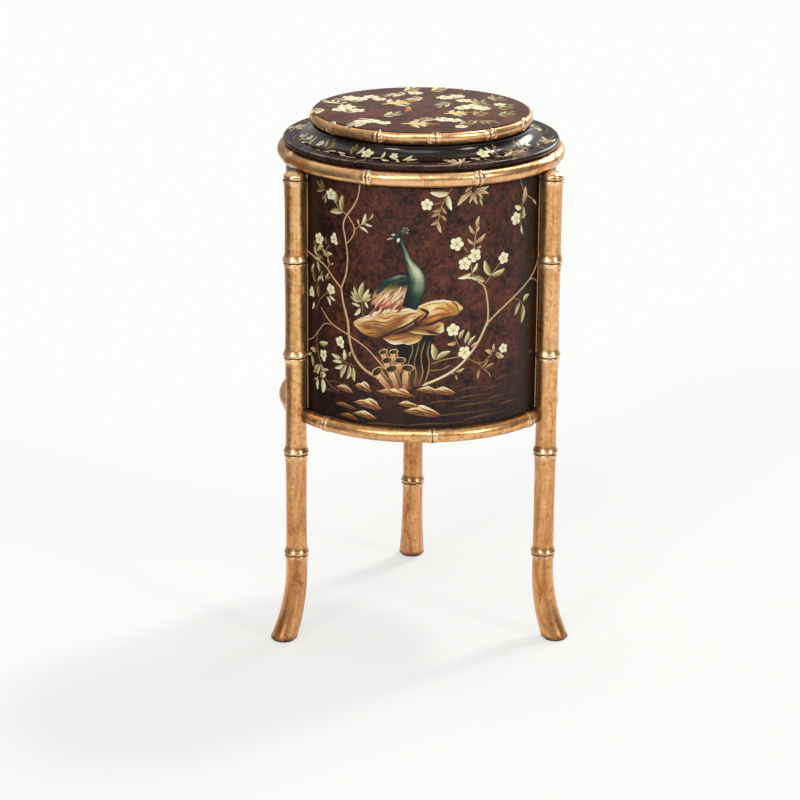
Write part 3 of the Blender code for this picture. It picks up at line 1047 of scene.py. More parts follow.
@dataclass
class BambooHoop:
    """A bamboo ring or arc in the horizontal plane, with carved knuckles and buds."""

    name: str
    node: str
    body: Body
    radius: float
    level: float
    tube: float
    seat: float
    knuckles: tuple[float, ...]
    span: tuple[float, float] | None = None
    lip: Point2 | None = None
    end_shade: float = 30.0 * MM
    underside_shade: float = 0.8
    row_pitch: float = 6.5 * MM
    row_least: float = 0.12 * MM
    bud_offset: float = 5.2 * MM
    bud_wear_and_light: float = 0.75
    bud_seat: float = 0.985
    bud_drop: float = 0.4 * MM
    bud_size: tuple[float, float, float] = (2.1 * MM, 1.0 * MM, 2.7 * MM)
    curl_radius: float = 4.0 * MM
    curl_tube: float = 0.75 * MM
    curl_turn: float = 200.0
    knuckle: Knuckle = Knuckle(1.15 * MM, 1.0 * MM, 2.8 * MM, 2.6 * MM, 7.5 * MM, 0.1 * MM, 2.0, 0.55)
    cane: Cane = field(default_factory=lambda: Cane(sides=26, ripple=0.15 * MM))

    def azimuths(self) -> list[float]:
        """The azimuths of the rows: dense at the knuckles and even between.

        Returns:
            The azimuths, rising.
        """
        start, end = self.span or (self.knuckles[0] - 20.0, self.knuckles[0] + 340.0)
        found = {start, end}
        for knuckle in self.knuckles:
            for distance in self.knuckle.distances():
                azimuth = knuckle + math.degrees(distance / self.radius)
                found.add(start + (azimuth - start) % FULL_TURN)
        count = math.ceil(math.radians(end - start) * self.radius / self.row_pitch)
        found |= {start + (end - start) * step / count for step in range(count)}
        least = math.degrees(self.row_least / self.radius)
        return thinned((azimuth for azimuth in found if start <= azimuth <= end), least)

    def distance_to(self, azimuth: float, knuckle: float) -> float:
        """The signed distance along the hoop from a knuckle."""
        apart = (azimuth - knuckle + 180.0) % FULL_TURN - 180.0
        return math.radians(apart) * self.radius

    def station(self, azimuth: float) -> Station:
        """One row of the hoop.

        Args:
            azimuth: Where the row lies.

        Returns:
            The row.
        """
        radius, wear_and_light = self.tube, 0.0
        for knuckle in self.knuckles:
            distance = self.distance_to(azimuth, knuckle)
            if abs(distance) <= self.knuckle.reach:
                radius += self.knuckle.swell(distance)
                wear_and_light = self.knuckle.wear_and_light(distance)
        if self.span:
            end = math.radians(min(azimuth - self.span[0], self.span[1] - azimuth)) * self.radius
            # Painted shade: the rail darkens towards each end, where it meets a leg.
            wear_and_light -= smooth((self.end_shade - end) / self.end_shade)
        along = math.radians(azimuth) * self.radius
        centre = at_azimuth(azimuth, self.radius, self.level)
        return Station(along, centre, outward(azimuth), UP, radius, wear_and_light)

    def scribe(self, work: Workpiece) -> None:
        """Flattens the hoop's inner side against what it goes round, and its top under a lip.

        Args:
            work: The hoop.
        """
        for vert in work.bm.verts:
            offset = from_axis(vert.co)
            if offset.length < self.seat:
                vert.co += offset.normalized() * (self.seat - offset.length)
            if self.lip and offset.length < self.lip[0]:
                vert.co.z = min(vert.co.z, self.lip[1])

    def carve_buds(self, work: Workpiece) -> None:
        """Adds the little bud and the curl round it beside each knuckle.

        Args:
            work: The hoop.
        """
        strand = work.bm.verts.layers.float_vector["strand"]
        wear_and_light = work.bm.verts.layers.float["wear_and_light"]
        for index, knuckle in enumerate(self.knuckles):
            side = 1.0 if index % 2 else -1.0
            azimuth = knuckle + side * math.degrees(self.bud_offset / self.radius)
            place = at_azimuth(azimuth, self.radius + self.tube * self.bud_seat, self.level - self.bud_drop)
            turned = Matrix.Translation(place) @ Matrix.Rotation(math.radians(azimuth), 4, "Z")
            before = set(work.bm.verts)
            flat = Matrix.Diagonal((*self.bud_size, 1.0))
            bmesh.ops.create_uvsphere(work.bm, u_segments=12, v_segments=8, radius=1.0, matrix=turned @ flat)
            self.carve_curl(work, turned, side)
            # The buds and curls are lightened as wear and painted highlight.
            for vert in set(work.bm.verts) - before:
                vert[strand] = (vert.co.x + vert.co.z, vert.co.y, vert.co.z)
                vert[wear_and_light] = self.bud_wear_and_light

    def carve_curl(self, work: Workpiece, place: Matrix, side: float) -> None:
        """Adds a C-shaped curl that opens towards the knuckle.

        Args:
            work: The workpiece.
            place: The bud's place, with its Y axis into the cane.
            side: On which side of the knuckle the bud lies.
        """
        bm = work.bm
        above = Matrix.Translation(UP * self.curl_radius)
        section = bmesh.ops.create_circle(bm, segments=8, radius=self.curl_tube, matrix=above)["verts"]
        for vert in section:
            vert.co = Vector((0, vert.co.x, vert.co.z + vert.co.y))
        geom = section + list({edge for vert in section for edge in vert.link_edges})
        angle = side * math.radians(self.curl_turn)
        last = bmesh.ops.spin(bm, geom=geom, cent=(0, 0, 0), axis=(0, 1, 0), angle=angle, steps=14)[
            "geom_last"
        ]
        rims = {*section, *(v for edge in last if isinstance(edge, bmesh.types.BMEdge) for v in edge.verts)}
        ends = [edge for edge in bm.edges if edge.is_boundary and rims.issuperset(edge.verts)]
        curl = [vert for vert in bm.verts if vert.co.length < 2 * self.curl_radius]
        bmesh.ops.holes_fill(bm, edges=ends, sides=0)
        bmesh.ops.transform(bm, matrix=place, verts=curl)

    def build(self, palette: Palette) -> None:
        """Builds the hoop.

        Args:
            palette: The materials.
        """
        work = Workpiece()
        rows = [self.station(azimuth) for azimuth in self.azimuths()]
        if self.span is None:
            rows = rows[:-1]
        self.cane.loft(work, rows, closed=self.span is None)
        self.scribe(work)
        wear_and_light = work.bm.verts.layers.float["wear_and_light"]
        # Painted shade on the underside of the hoop.
        for vert in work.bm.verts:
            vert[wear_and_light] -= self.underside_shade * smooth((self.level - vert.co.z) / self.tube - 0.3)
        self.carve_buds(work)
        bmesh.ops.recalc_face_normals(work.bm, faces=work.bm.faces)
        work.piece(self.name, self.body, Slot.GILT, [palette.gilt], [self.node], SOFT_EDGE)


@dataclass
class GiltHoops:
    """The lid's edge ring and top rim, and the three rails round the drum's foot."""

    palette: Palette
    standoff: float = 1.5 * MM
    rim_standoff: float = 4.0 * MM
    rail_tube: float = 8.5 * MM
    edge_tube: float = 8.8 * MM
    rim_tube: float = 8.26 * MM
    gap: float = 0.3 * MM
    edge_knuckles: int = 8
    edge_phase: float = 21.0
    rim_knuckles: int = 12
    rim_phase: float = 5.0
    rail_pitch: float = 47.0
    rail_phase: float = 3.4
    rail_clearance: float = 3.5 * MM
    half_panel: float = 60.0

    @staticmethod
    def level(node: str) -> float:
        """Height of the middle of a hoop's node."""
        _, low, high = round_size(node)
        return (low + high) / 2

    def build(self) -> None:
        """Builds the two rings of the lid and the three rails of the drum."""
        wall = round_size("drum_shell")[0]
        rail = wall + self.standoff
        rim = round_size("lid_top_board")[0] + self.rim_standoff
        for name, board, tube, radius, count, phase in (
            ("edge_ring", "lid_core", self.edge_tube, rail, self.edge_knuckles, self.edge_phase),
            ("top_rim", "lid_top_board", self.rim_tube, rim, self.rim_knuckles, self.rim_phase),
        ):
            node = f"lid_{name}"
            seat, _, top = round_size(board)
            knuckles = tuple(phase + FULL_TURN / count * index for index in range(count))
            hoop = BambooHoop(
                name, node, Body.LID, radius, self.level(node), tube, seat + self.gap, knuckles
            )
            if radius == rim:
                hoop.lip = (Lid.lip + self.gap, top - Lid.lip_thickness - self.gap)
            hoop.build(self.palette)
        half = self.half_panel - math.degrees(self.rail_clearance / rail)
        for side, azimuth in PANEL_AZIMUTHS.items():
            name, node = f"foot_rail_{side}", f"lower_rail_{side}"
            knuckles = tuple(azimuth + self.rail_phase + self.rail_pitch * index for index in (-1, 0, 1))
            span = (azimuth - half, azimuth + half)
            level, seat = self.level(node), wall + self.gap
            hoop = BambooHoop(name, node, Body.BASE, rail, level, self.rail_tube, seat, knuckles, span)
            hoop.build(self.palette)


# Drum and lid


EASED = Arris(0.8 * MM, 3)
THIN_EASED = Arris(0.25 * MM, 2)
BOARD_STEPS = 240
INNER_SKIN = 1.0 * MM


def turn_board(
    name: str, node: str, body: Body, slot: Slot, materials: Sequence[Material],
    profile: Line = (), closed: bool = False, arris: Arris | None = EASED,
) -> None:
    """Builds one turned board; a second material goes on the inner side of a ring.

    Args:
        name: The piece's name.
        node: The CAD node that it stands for.
        body: The body that it moves with.
        slot: The record's material slot.
        materials: Its materials.
        profile: Its outline, where it isn't a plain disc.
        closed: Whether the outline is a ring.
        arris: The easing of its corners.
    """
    radius, low, high = round_size(node)
    outline = profile or [(0, high), (radius, high), (radius, low), (0, low)]
    work = Workpiece().turned(outline, BOARD_STEPS, closed, arris)
    if len(materials) > 1:
        inner = min(corner[0] for corner in outline) + INNER_SKIN
        for face in work.bm.faces:
            face.material_index = int(from_axis(face.calc_center_median()).length < inner)
    work.piece(name, body, slot, materials, [node])


@dataclass
class Drum:
    """The hollow drum: its wall, the hoop in its foot and its floor board."""

    palette: Palette
    mouth_round: float = 2.0 * MM
    hoop_thickness: float = 12.0 * MM
    gap: float = 0.3 * MM
    wall_rows: int = 24

    def build(self) -> None:
        """Builds the wall, lacquered outside and stained inside, and the hoop and the board within."""
        wood = [self.palette.wood]
        hoop, hoop_low, hoop_high = round_size("base_hoop")
        outer, low, high = round_size("drum_shell")
        inner = hoop + self.gap
        ease = self.mouth_round
        mouth = arc((outer - ease, high - ease), (ease, ease), 90, 0, 6)
        rows = [low + (high - low) * step / self.wall_rows for step in range(self.wall_rows - 1, 0, -1)]
        wall = mouth + [(outer, level) for level in rows] + [(outer, low), (inner, low), (inner, high)]
        lacquered = [self.palette.drum, *wood]
        turn_board("drum_wall", "drum_shell", Body.BASE, Slot.PAINTED, lacquered, wall, True, None)
        inside = hoop - self.hoop_thickness
        ring = [(hoop, hoop_high), (hoop, hoop_low), (inside, hoop_low), (inside, hoop_high)]
        turn_board("foot_hoop", "base_hoop", Body.BASE, Slot.WOOD, wood, ring, True)
        turn_board("floor_board", "base_board", Body.BASE, Slot.WOOD, wood)


@dataclass
class Lid:
    """The stepped lid: locating disc, core, bullnosed flange, hollow neck and top board."""

    palette: Palette
    flare: float = 17.0 * MM
    fillet: float = 0.8 * MM
    lip: float = 127.0 * MM
    lip_thickness: float = 0.8 * MM

    def build(self) -> None:
        """Builds the boards of the lid."""
        black = [self.palette.black]
        turn_board("locating_disc", "lid_locator", Body.LID, Slot.WOOD, [self.palette.wood])
        turn_board("lid_drum_core", "lid_core", Body.LID, Slot.BLACK, black)
        radius, low, high = round_size("lid_top_board")
        under = high - self.lip_thickness
        top = [(0, high), (self.lip, high), (self.lip, under), (radius, under), (radius, low), (0, low)]
        board = [self.palette.board]
        turn_board("painted_top", "lid_top_board", Body.LID, Slot.PAINTED, board, top, arris=THIN_EASED)
        radius, low, high = round_size("lid_flange")
        half = (high - low) / 2
        nose = [(0, high), *arc((radius - half, low + half), (half, half), 90, -90, 16), (0, low)]
        turn_board("bullnose_flange", "lid_flange", Body.LID, Slot.BLACK, black, nose, arris=None)
        radius, low, high = round_size("lid_neck")
        hollow = arc((radius, high), (self.flare, high - low - self.fillet), 180, 270, 20)
        neck = [(0, high), *hollow, (radius, low), (0, low)]
        turn_board("hollow_neck", "lid_neck", Body.LID, Slot.BLACK, black, neck, arris=None)


@dataclass
class Screws:
    """Round-headed slotted screws of the drum, the legs and the lid."""

    palette: Palette
    head: float = 4.0 * MM
    head_height: float = 2.4 * MM
    rim_share: float = 0.35
    shank: float = 2.0 * MM
    slot_width: float = 0.9 * MM
    slot_depth: float = 0.9 * MM
    sides: int = 24

    def mesh(self, length: float) -> Workpiece:
        """A screw on the Z axis, its head's seat at 0 and the head above.

        Args:
            length: From the seat to the tip.

        Returns:
            The workpiece.
        """
        rim = self.head_height * self.rim_share
        dome = arc((0, rim), (self.head, self.head_height - rim), 90, 0, 6)
        shank_end = -length + 2 * self.shank
        shank = [(self.head, 0), (self.shank, 0), (self.shank, shank_end), (0, -length)]
        profile = [(0, self.head_height), *dome[1:], *shank]
        work = Workpiece().turned(profile, self.sides, centre=Vector())
        for side in (-1, 1):
            plane = (side * self.slot_width / 2, 0, 0)
            geom = work.bm.verts[:] + work.bm.edges[:] + work.bm.faces[:]
            bmesh.ops.bisect_plane(work.bm, geom=geom, dist=MERGE / 10, plane_co=plane, plane_no=(1, 0, 0))
        half = self.slot_width / 2 + MERGE
        floor = self.head_height - self.slot_depth
        strip = [
            face for face in work.bm.faces
            if face.calc_center_median().z > floor / 2 and face.normal.z > 0.2
            and all(abs(vert.co.x) <= half for vert in face.verts)
        ]
        walls = bmesh.ops.extrude_face_region(work.bm, geom=strip)["geom"]
        bmesh.ops.delete(work.bm, geom=strip, context="FACES")
        for vert in (item for item in walls if isinstance(item, bmesh.types.BMVert)):
            vert.co.z = min(vert.co.z, floor)
        bmesh.ops.recalc_face_normals(work.bm, faces=work.bm.faces)
        return work

    def drive(self, node: str, body: Body, axis: Vector) -> None:
        """Builds the screw of one CAD node.

        Args:
            node: The node.
            body: The body that it rides on.
            axis: From the screw's head towards its tip.
        """
        low, high = node_box(node)
        middle, reach = (low + high) / 2, (high - low) / 2
        half = reach.z if axis.z else self.lying_half(axis, reach)
        length = 2 * half - self.head_height
        seat = middle - axis * (half - self.head_height)
        turn = (-axis).to_track_quat("Z", "Y").to_matrix().to_4x4()
        work = self.mesh(length)
        bmesh.ops.transform(work.bm, matrix=Matrix.Translation(seat) @ turn, verts=work.bm.verts)
        work.piece(node.replace("screw", "slotted_screw"), body, Slot.METAL, [self.palette.screw], [node])

    def lying_half(self, axis: Vector, reach: Vector) -> float:
        """Half the length of a level screw, from its box: the head's width also widens the box.

        Args:
            axis: From its head towards its tip.
            reach: Half its box.

        Returns:
            Half its length.
        """
        major = max(range(2), key=lambda i: abs(axis[i]))
        minor = 1 - major
        return (reach[major] - self.head * abs(axis[minor]) * 0.5) / abs(axis[major])

    def build(self) -> None:
        """Builds every screw."""
        for side in PANEL_AZIMUTHS:
            for letter in "ab":
                self.drive(f"base_screw_{side}_{letter}", Body.BASE, UP)
        for index in range(1, 5):
            self.drive(f"lid_screw_{index}", Body.LID, UP)
        for side, azimuth in LEG_AZIMUTHS.items():
            for level in ("upper", "lower"):
                self.drive(f"leg_screw_{side}_{level}", Body.BASE, outward(azimuth))


# Painted decoration


def tone(red: int, green: int, blue: int) -> Colour:
    """A paint colour given as it looks on a screen, from 0 to 255, as linear light."""
    return tuple(((c / 255 + 0.055) / 1.055) ** 2.4 if c > 10 else c / 3294.6 for c in (red, green, blue))


CREAM = tone(246, 240, 212)
IVORY = tone(236, 226, 172)
WHEAT = tone(214, 196, 124)
STRAW = tone(232, 205, 156)
TAN = tone(204, 163, 120)
UMBER = tone(112, 74, 48)
OLIVE = tone(132, 113, 48)
MOSS = tone(72, 64, 28)
YELLOW = tone(216, 182, 78)
SAND = tone(248, 220, 160)
GOLD = tone(214, 154, 78)
OCHRE = tone(170, 114, 54)
RUST = tone(146, 72, 38)
ROSE = tone(204, 124, 100)
PINE = tone(22, 42, 34)
TEAL = tone(40, 74, 56)
SAGE = tone(126, 142, 114)
CELADON = tone(200, 204, 174)
INK = tone(22, 16, 13)


@dataclass(frozen=True)
class Tint:
    """The colours of a stroke: along its middle from root to tip, and along its left and right edges."""

    root: Colour
    tip: Colour
    left: Colour
    right: Colour

    def at(self, along: float, side: float) -> tuple[float, float, float, float]:
        """The colour at a share of the length and a place across, from -1 at the left to 1 at the right.

        Args:
            along: Share of the length.
            side: The place across.

        Returns:
            The colour.
        """
        share, rim = smooth(along), abs(side) ** 1.5
        edge = self.left if side < 0 else self.right
        middle = [r + (t - r) * share for r, t in zip(self.root, self.tip)]
        return (*(m + (e - m) * rim for m, e in zip(middle, edge)), 1.0)


LEAF = Tint(OLIVE, WHEAT, CREAM, MOSS)
PALE_LEAF = Tint(WHEAT, CREAM, CREAM, OLIVE)
DIM_LEAF = Tint(MOSS, OLIVE, TAN, MOSS)
WARM_LEAF = Tint(UMBER, STRAW, STRAW, TAN)
PETAL = Tint(IVORY, CREAM, CREAM, IVORY)
BARK = Tint(TAN, TAN, STRAW, UMBER)
PALE_BARK = Tint(STRAW, TAN, CREAM, UMBER)
VINE = Tint(OLIVE, TAN, TAN, UMBER)
RIPPLE = Tint(UMBER, INK, MOSS, INK)
SEAM_GILT_AND_HIGHLIGHT = Tint(STRAW, STRAW, TAN, TAN)
BIRD_YELLOW = Tint(GOLD, RUST, YELLOW, RUST)

BAND_STEPS = 12
FIRST_COAT = 0.03
NEXT_COAT = 0.00025
SUNK_EDGE = 0.08
LEAF_BEND = 9.0
PETALS = 5
PETAL_TURN = FULL_TURN / PETALS
Wash = Sequence[Sequence[Colour]]


def blended(colours: Wash, along: float, across: float) -> tuple[float, float, float, float]:
    """The colour at two shares of a field of colours that is given in rows.

    Args:
        colours: The rows.
        along: Share along a row.
        across: Share across the rows.

    Returns:
        The colour.
    """
    def between(first: Colour, last: Colour, share: float) -> Colour:
        """A colour between two others."""
        return tuple(a + (b - a) * smooth(share) for a, b in zip(first, last))

    def within(row: Sequence[Colour], share: float) -> Colour:
        """A colour along one row."""
        index = min(int(share * (len(row) - 1)), len(row) - 2)
        return between(row[index], row[index + 1], share * (len(row) - 1) - index)

    level = min(int(across * (len(colours) - 1)), len(colours) - 2)
    pair = (within(row, along) for row in colours[level:level + 2])
    return (*between(*pair, across * (len(colours) - 1) - level), 1.0)


@dataclass(frozen=True)
class Ground:
    """A surface that is painted on, with two coordinates in millimetres."""

    azimuth: float = 0.0
    flip: bool = False

    def azimuth_at(self, x: float, radius: float) -> float:
        """The azimuth at a distance along a round surface of this radius."""
        return self.azimuth + math.degrees(x * MM / radius) * (-1 if self.flip else 1)

    def point(self, x: float, y: float, lift: float) -> Vector:
        """The place of a painted point, lifted off the surface."""
        raise NotImplementedError


class DrumPanel(Ground):
    """The drum's wall between two legs: x along the wall from the panel's middle, y above the underside."""

    def point(self, x: float, y: float, lift: float) -> Vector:
        """The place of a painted point, lifted off the surface."""
        radius, low, _ = round_size("drum_shell")
        return at_azimuth(self.azimuth_at(x, radius), radius + lift, low + y * MM)


class LidTop(Ground):
    """The top board: x to the right and y to the back of its middle."""

    def point(self, x: float, y: float, lift: float) -> Vector:
        """The place of a painted point, lifted off the surface."""
        return AXIS + Vector((x * MM, y * MM, round_size("lid_top_board")[2] + lift))


class LidShoulder(Ground):
    """Neck and flange: x along the neck's foot from an azimuth, y up the neck or, below 0, outwards."""

    cove_length = 23.2 * MM

    def point(self, x: float, y: float, lift: float) -> Vector:
        """The place of a painted point, lifted off the surface.

        Args:
            x: Along the neck's foot.
            y: Up the neck, or outwards.
            lift: Off the surface.

        Returns:
            The place.
        """
        foot, neck_low, neck_high = round_size("lid_neck")
        edge, flange_low, flange_high = round_size("lid_flange")
        along = y * MM
        if along > 0:
            rise = neck_high - neck_low - Lid.fillet
            angle = math.radians(270 - 90 * min(1.0, along / self.cove_length))
            way = Vector((-math.cos(angle) / Lid.flare, -math.sin(angle) / rise)).normalized()
            radius = foot + Lid.flare * math.cos(angle) + way.x * lift
            height = neck_high + rise * math.sin(angle) + way.y * lift
        else:
            half = (flange_high - flange_low) / 2
            flat = edge - half - foot
            bend = max(0.0, -along - flat) / half
            radius = foot + min(-along, flat) + (half + lift) * math.sin(bend)
            height = flange_high - half + (half + lift) * math.cos(bend)
        return at_azimuth(self.azimuth_at(x, foot), radius, height)


class Stem:
    """A smooth line through a few points, followed by its share of the length."""

    def __init__(self, points: Line) -> None:
        """Measures the line from point to point.

        Args:
            points: The points.
        """
        self.points = [Vector(point) for point in points]
        self.marks = [0.0]
        for start, end in zip(self.points, self.points[1:]):
            self.marks.append(self.marks[-1] + (end - start).length)

    @property
    def length(self) -> float:
        """Length of the line, corner to corner."""
        return self.marks[-1]

    def at(self, share: float) -> Vector:
        """The point at a share of the length, on a spline through the given points.

        Args:
            share: Share of the length.

        Returns:
            The point.
        """
        mark = min(1.0, max(0.0, share)) * self.length
        index = next((i for i, end in enumerate(self.marks[1:]) if mark <= end), len(self.marks) - 2)
        part = (mark - self.marks[index]) / (self.marks[index + 1] - self.marks[index])
        near = [self.points[min(max(index + k, 0), len(self.points) - 1)] for k in (-1, 0, 1, 2)]
        bend = near[0] * 2 - near[1] * 5 + near[2] * 4 - near[3]
        twist = near[1] * 3 - near[0] - near[2] * 3 + near[3]
        return near[1] + ((near[2] - near[0]) * part + bend * part**2 + twist * part**3) / 2

    def heading(self, share: float) -> Vector:
        """The line's direction at a share of the length."""
        return (self.at(share + 0.01) - self.at(share - 0.01)).normalized()


def width_at(widths: Sequence[float], share: float) -> float:
    """The half width of a stroke at a share of its length.

    Args:
        widths: Half widths at even steps.
        share: Share of the length.

    Returns:
        The half width.
    """
    step = share * (len(widths) - 1)
    index = min(int(step), len(widths) - 2)
    return widths[index] + (widths[index + 1] - widths[index]) * smooth(step - index)


def away(x: float, y: float, angle: float, distance: float) -> Point2:
    """The point at an angle in degrees and a distance from another."""
    turn = math.radians(angle)
    return x + distance * math.cos(turn), y + distance * math.sin(turn)


class Brush:
    """Lays raised strokes of paint on one ground; later strokes lie over earlier ones."""

    def __init__(self, ground: Ground) -> None:
        """Starts a picture on a ground.

        Args:
            ground: What is painted on.
        """
        self.ground = ground
        self.work = Workpiece()
        self.paint = self.work.bm.verts.layers.float_color.new("paint")
        self.count = 0

    def coat(self, over: float) -> float:
        """The height of the next stroke's edge, over paint that stands up by a distance."""
        self.count += 1
        return over + FIRST_COAT + NEXT_COAT * (self.count - 1)

    def stroke(
        self, path: Line, widths: Sequence[float], tint: Tint, crown: float = 0.16, rows: int = 6,
        over: float = 0.0,
    ) -> None:
        """Lays one stroke.

        Args:
            path: Points that it runs through.
            widths: Half widths at even steps along it.
            tint: Its colours.
            crown: How far its middle stands up.
            rows: Facets along it; there are four across.
            over: How far the paint that it lies on stands up.
        """
        stem, base = Stem(path), self.coat(over)
        for vert in bmesh.ops.create_grid(self.work.bm, x_segments=4, y_segments=rows, size=1.0)["verts"]:
            side, along = vert.co.x, (vert.co.y + 1) / 2
            half = width_at(widths, along)
            heading, place = stem.heading(along), stem.at(along)
            x, y = place.x + heading.y * half * side, place.y - heading.x * half * side
            lift = base + crown * (1 - side * side) if abs(side) < 0.99 else base - SUNK_EDGE
            vert.co = self.ground.point(x, y, lift * MM)
            vert[self.paint] = tint.at(along, side)

    def wash(
        self, upper: Line, lower: Line, colours: Wash, over: float = 0.0, crown: float = 0.12
    ) -> None:
        """Fills the space between two lines with colours that run into each other.

        Args:
            upper: The line on the left of the way along.
            lower: The line on the right of it.
            colours: Rows of colours from the upper line to the lower.
            over: How far the paint that it lies on stands up.
            crown: How far its middle stands up.
        """
        top, bottom, base = Stem(upper), Stem(lower), self.coat(over)
        for vert in bmesh.ops.create_grid(self.work.bm, x_segments=22, y_segments=10, size=1.0)["verts"]:
            along, across = (vert.co.x + 1) / 2, (1 - vert.co.y) / 2
            place = top.at(along).lerp(bottom.at(along), across)
            inside = 0.01 < across < 0.99
            lift = base + crown * 4 * across * (1 - across) if inside else base - SUNK_EDGE
            vert.co = self.ground.point(place.x, place.y, lift * MM)
            vert[self.paint] = blended(colours, along, across)

    def band(
        self, path: Line, halves: Sequence[float], colours: Wash, over: float = 0.0, crown: float = 0.12
    ) -> None:
        """Lays a broad band of colours that run into each other.

        Args:
            path: A few points on its middle line.
            halves: Its half widths at even steps along it.
            colours: Rows of colours from its left edge to its right one.
            over: How far the paint that it lies on stands up.
            crown: How far its middle stands up.
        """
        stem = Stem(path)
        edges: tuple[list[Point2], list[Point2]] = ([], [])
        for step in range(BAND_STEPS + 1):
            share = step / BAND_STEPS
            place, heading, half = stem.at(share), stem.heading(share), width_at(halves, share)
            for edge, side in zip(edges, (-half, half)):
                edge.append((place.x + heading.y * side, place.y - heading.x * side))
        self.wash(*edges, colours, over, crown)

    def limb(
        self, path: Line, start: float, end: float, tint: Tint = BARK, over: float = 0.0
    ) -> None:
        """Lays a branch that changes from one half width to another.

        Args:
            path: Points that it runs through.
            start: First half width.
            end: Last half width.
            tint: Its colours.
            over: How far the paint that it lies on stands up.
        """
        rows = max(4, math.ceil(Stem(path).length / 4.0))
        middle = (start + end) / 2
        self.stroke(path, (start, middle * 1.06, middle * 0.94, end), tint, 0.10 + 0.06 * start, rows, over)

    def leaf(
        self, x: float, y: float, angle: float, length: float, tint: Tint, width: float = 0.19,
        over: float = 0.0,
    ) -> None:
        """Lays a leaf.

        Args:
            x: Its stalk.
            y: Its stalk.
            angle: The way that it points.
            length: Its length.
            tint: Its colours.
            width: Its half width as a share of its length.
            over: How far the paint that it lies on stands up.
        """
        half = width * length
        bend = LEAF_BEND if self.count % 2 else -LEAF_BEND
        middle = away(x, y, angle + bend, length * 0.5)
        path = ((x, y), middle, away(x, y, angle, length))
        self.stroke(path, (0.10 * half, 0.82 * half, half, 0.62 * half, 0.06), tint, 0.14, 6, over)

    def leaves(self, tint: Tint, *places: tuple[float, ...]) -> None:
        """Lays several leaves, each given by its stalk, angle and length, and a width if it is broad."""
        for x, y, angle, length, *width in places:
            self.leaf(x, y, angle, length, tint, *width)

    def dab(
        self, x: float, y: float, angle: float, length: float, half: float, tint: Tint, over: float = 0.0
    ) -> None:
        """Lays an oval touch of the brush.

        Args:
            x: Its middle.
            y: Its middle.
            angle: The way that it lies.
            length: Its length.
            half: Its half width.
            tint: Its colours.
            over: How far the paint that it lies on stands up.
        """
        path = (away(x, y, angle, -length / 2), (x, y), away(x, y, angle, length / 2))
        flank, shoulder = 0.7 * half, 0.96 * half
        self.stroke(path, (0.05, flank, shoulder, half, shoulder, flank, 0.05), tint, 0.1, 6, over)

    def blossom(
        self, x: float, y: float, radius: float, turn: float, squash: float = 1.0, lean: float = 0.0
    ) -> None:
        """Lays a five-petalled blossom.

        Args:
            x: Its middle.
            y: Its middle.
            radius: Length of its petals.
            turn: Angle of its first petal.
            squash: How narrow it looks, when it is seen from the side.
            lean: The angle along which it is narrowed.
        """
        radius *= 0.86
        for petal in range(PETALS):
            angle = turn + PETAL_TURN * petal
            across = math.radians(angle - lean)
            reach = radius * math.hypot(math.cos(across) * squash, math.sin(across))
            root, tip = away(x, y, angle, 0.10 * reach), away(x, y, angle, reach)
            wide = 0.42 * radius * (squash + 1) / 2
            middle = away(x, y, angle, 0.6 * reach)
            self.stroke(
                (root, middle, tip), (0.12 * wide, 0.7 * wide, wide, 0.92 * wide, 0.3 * wide), PETAL, 0.16,
                5,
            )
        self.dab(x, y, lean + 90, 0.42 * radius, 0.19 * radius, Tint(OLIVE, YELLOW, YELLOW, MOSS), 0.1)
        stamen = Tint(UMBER, OLIVE, OLIVE, OLIVE)
        for angle in (turn + PETAL_TURN * (ray + 0.5) for ray in range(PETALS)):
            spot = away(x, y, angle, 0.36 * radius * squash)
            self.dab(*spot, angle, 0.16 * radius, 0.06 * radius, stamen, 0.12)

    def sprig(self, path: Line, pairs: int, length: float, tint: Tint, half: float = 0.45) -> None:
        """Lays a twig with pairs of leaves that shorten towards its tip, and a leaf at the tip.

        Args:
            path: The twig.
            pairs: Number of pairs.
            length: Length of the lowest leaves.
            tint: The leaves' colours.
            half: The twig's half width.
        """
        self.limb(path, half, half * 0.6, VINE)
        stem = Stem(path)
        for pair in range(pairs + 1):
            share = 0.25 + 0.75 * pair / pairs
            heading = math.degrees(math.atan2(*reversed(stem.heading(share))))
            sides = (0.0,) if pair == pairs else (42.0, -46.0)
            for index, side in enumerate(sides):
                place = stem.at(share - 0.05 * index)
                self.leaf(place.x, place.y, heading + side, length * (1 - 0.28 * share), tint, 0.17)

    def piece(self, name: str, body: Body, material: Material) -> None:
        """Ends the picture.

        Args:
            name: The piece's name.
            body: The body that it moves with.
            material: Its paint.
        """
        if self.ground.flip:
            bmesh.ops.reverse_faces(self.work.bm, faces=self.work.bm.faces)
        self.work.piece(name, body, Slot.PAINTED, [material], sharp=80.0)


@dataclass(frozen=True)
class PaintFinish:
    """Oil paint in raised touches, a little crazed and yellowed."""

    name: str = "raised_paint"
    grime_and_shade: Colour = (0.05, 0.025, 0.012)

    def material(self) -> Material:
        """Builds the paint from the strokes' own colours.

        Returns:
            The material.
        """
        recipe, place = Recipe.begin(self.name)
        paint = recipe.attribute("paint", "Color")
        bristle = recipe.noise(place, (700, 700, 1500), 3, 0.6, 0.4)
        patch = recipe.noise(place, 130, 3, 0.6, 0.5)
        cells = {"Vector": place, "Scale": 620.0}
        crazing = recipe.node("ShaderNodeTexVoronoi", {"feature": "DISTANCE_TO_EDGE"}, cells).eased(
            0.06, 0.0
        )
        dirt = (patch * 0.6 + bristle * 0.4).eased(0.50, 0.72) * 0.30 + crazing * 0.12
        normal = recipe.relief(bristle * 0.7 - crazing * 0.5, 0.10 * MM, 0.5)
        roughness = 0.44 + bristle * 0.20 + dirt * 0.2
        colour = recipe.blend(dirt, paint, self.grime_and_shade)
        return recipe.surface(colour, roughness, normal, {"Specular IOR Level": 0.25})


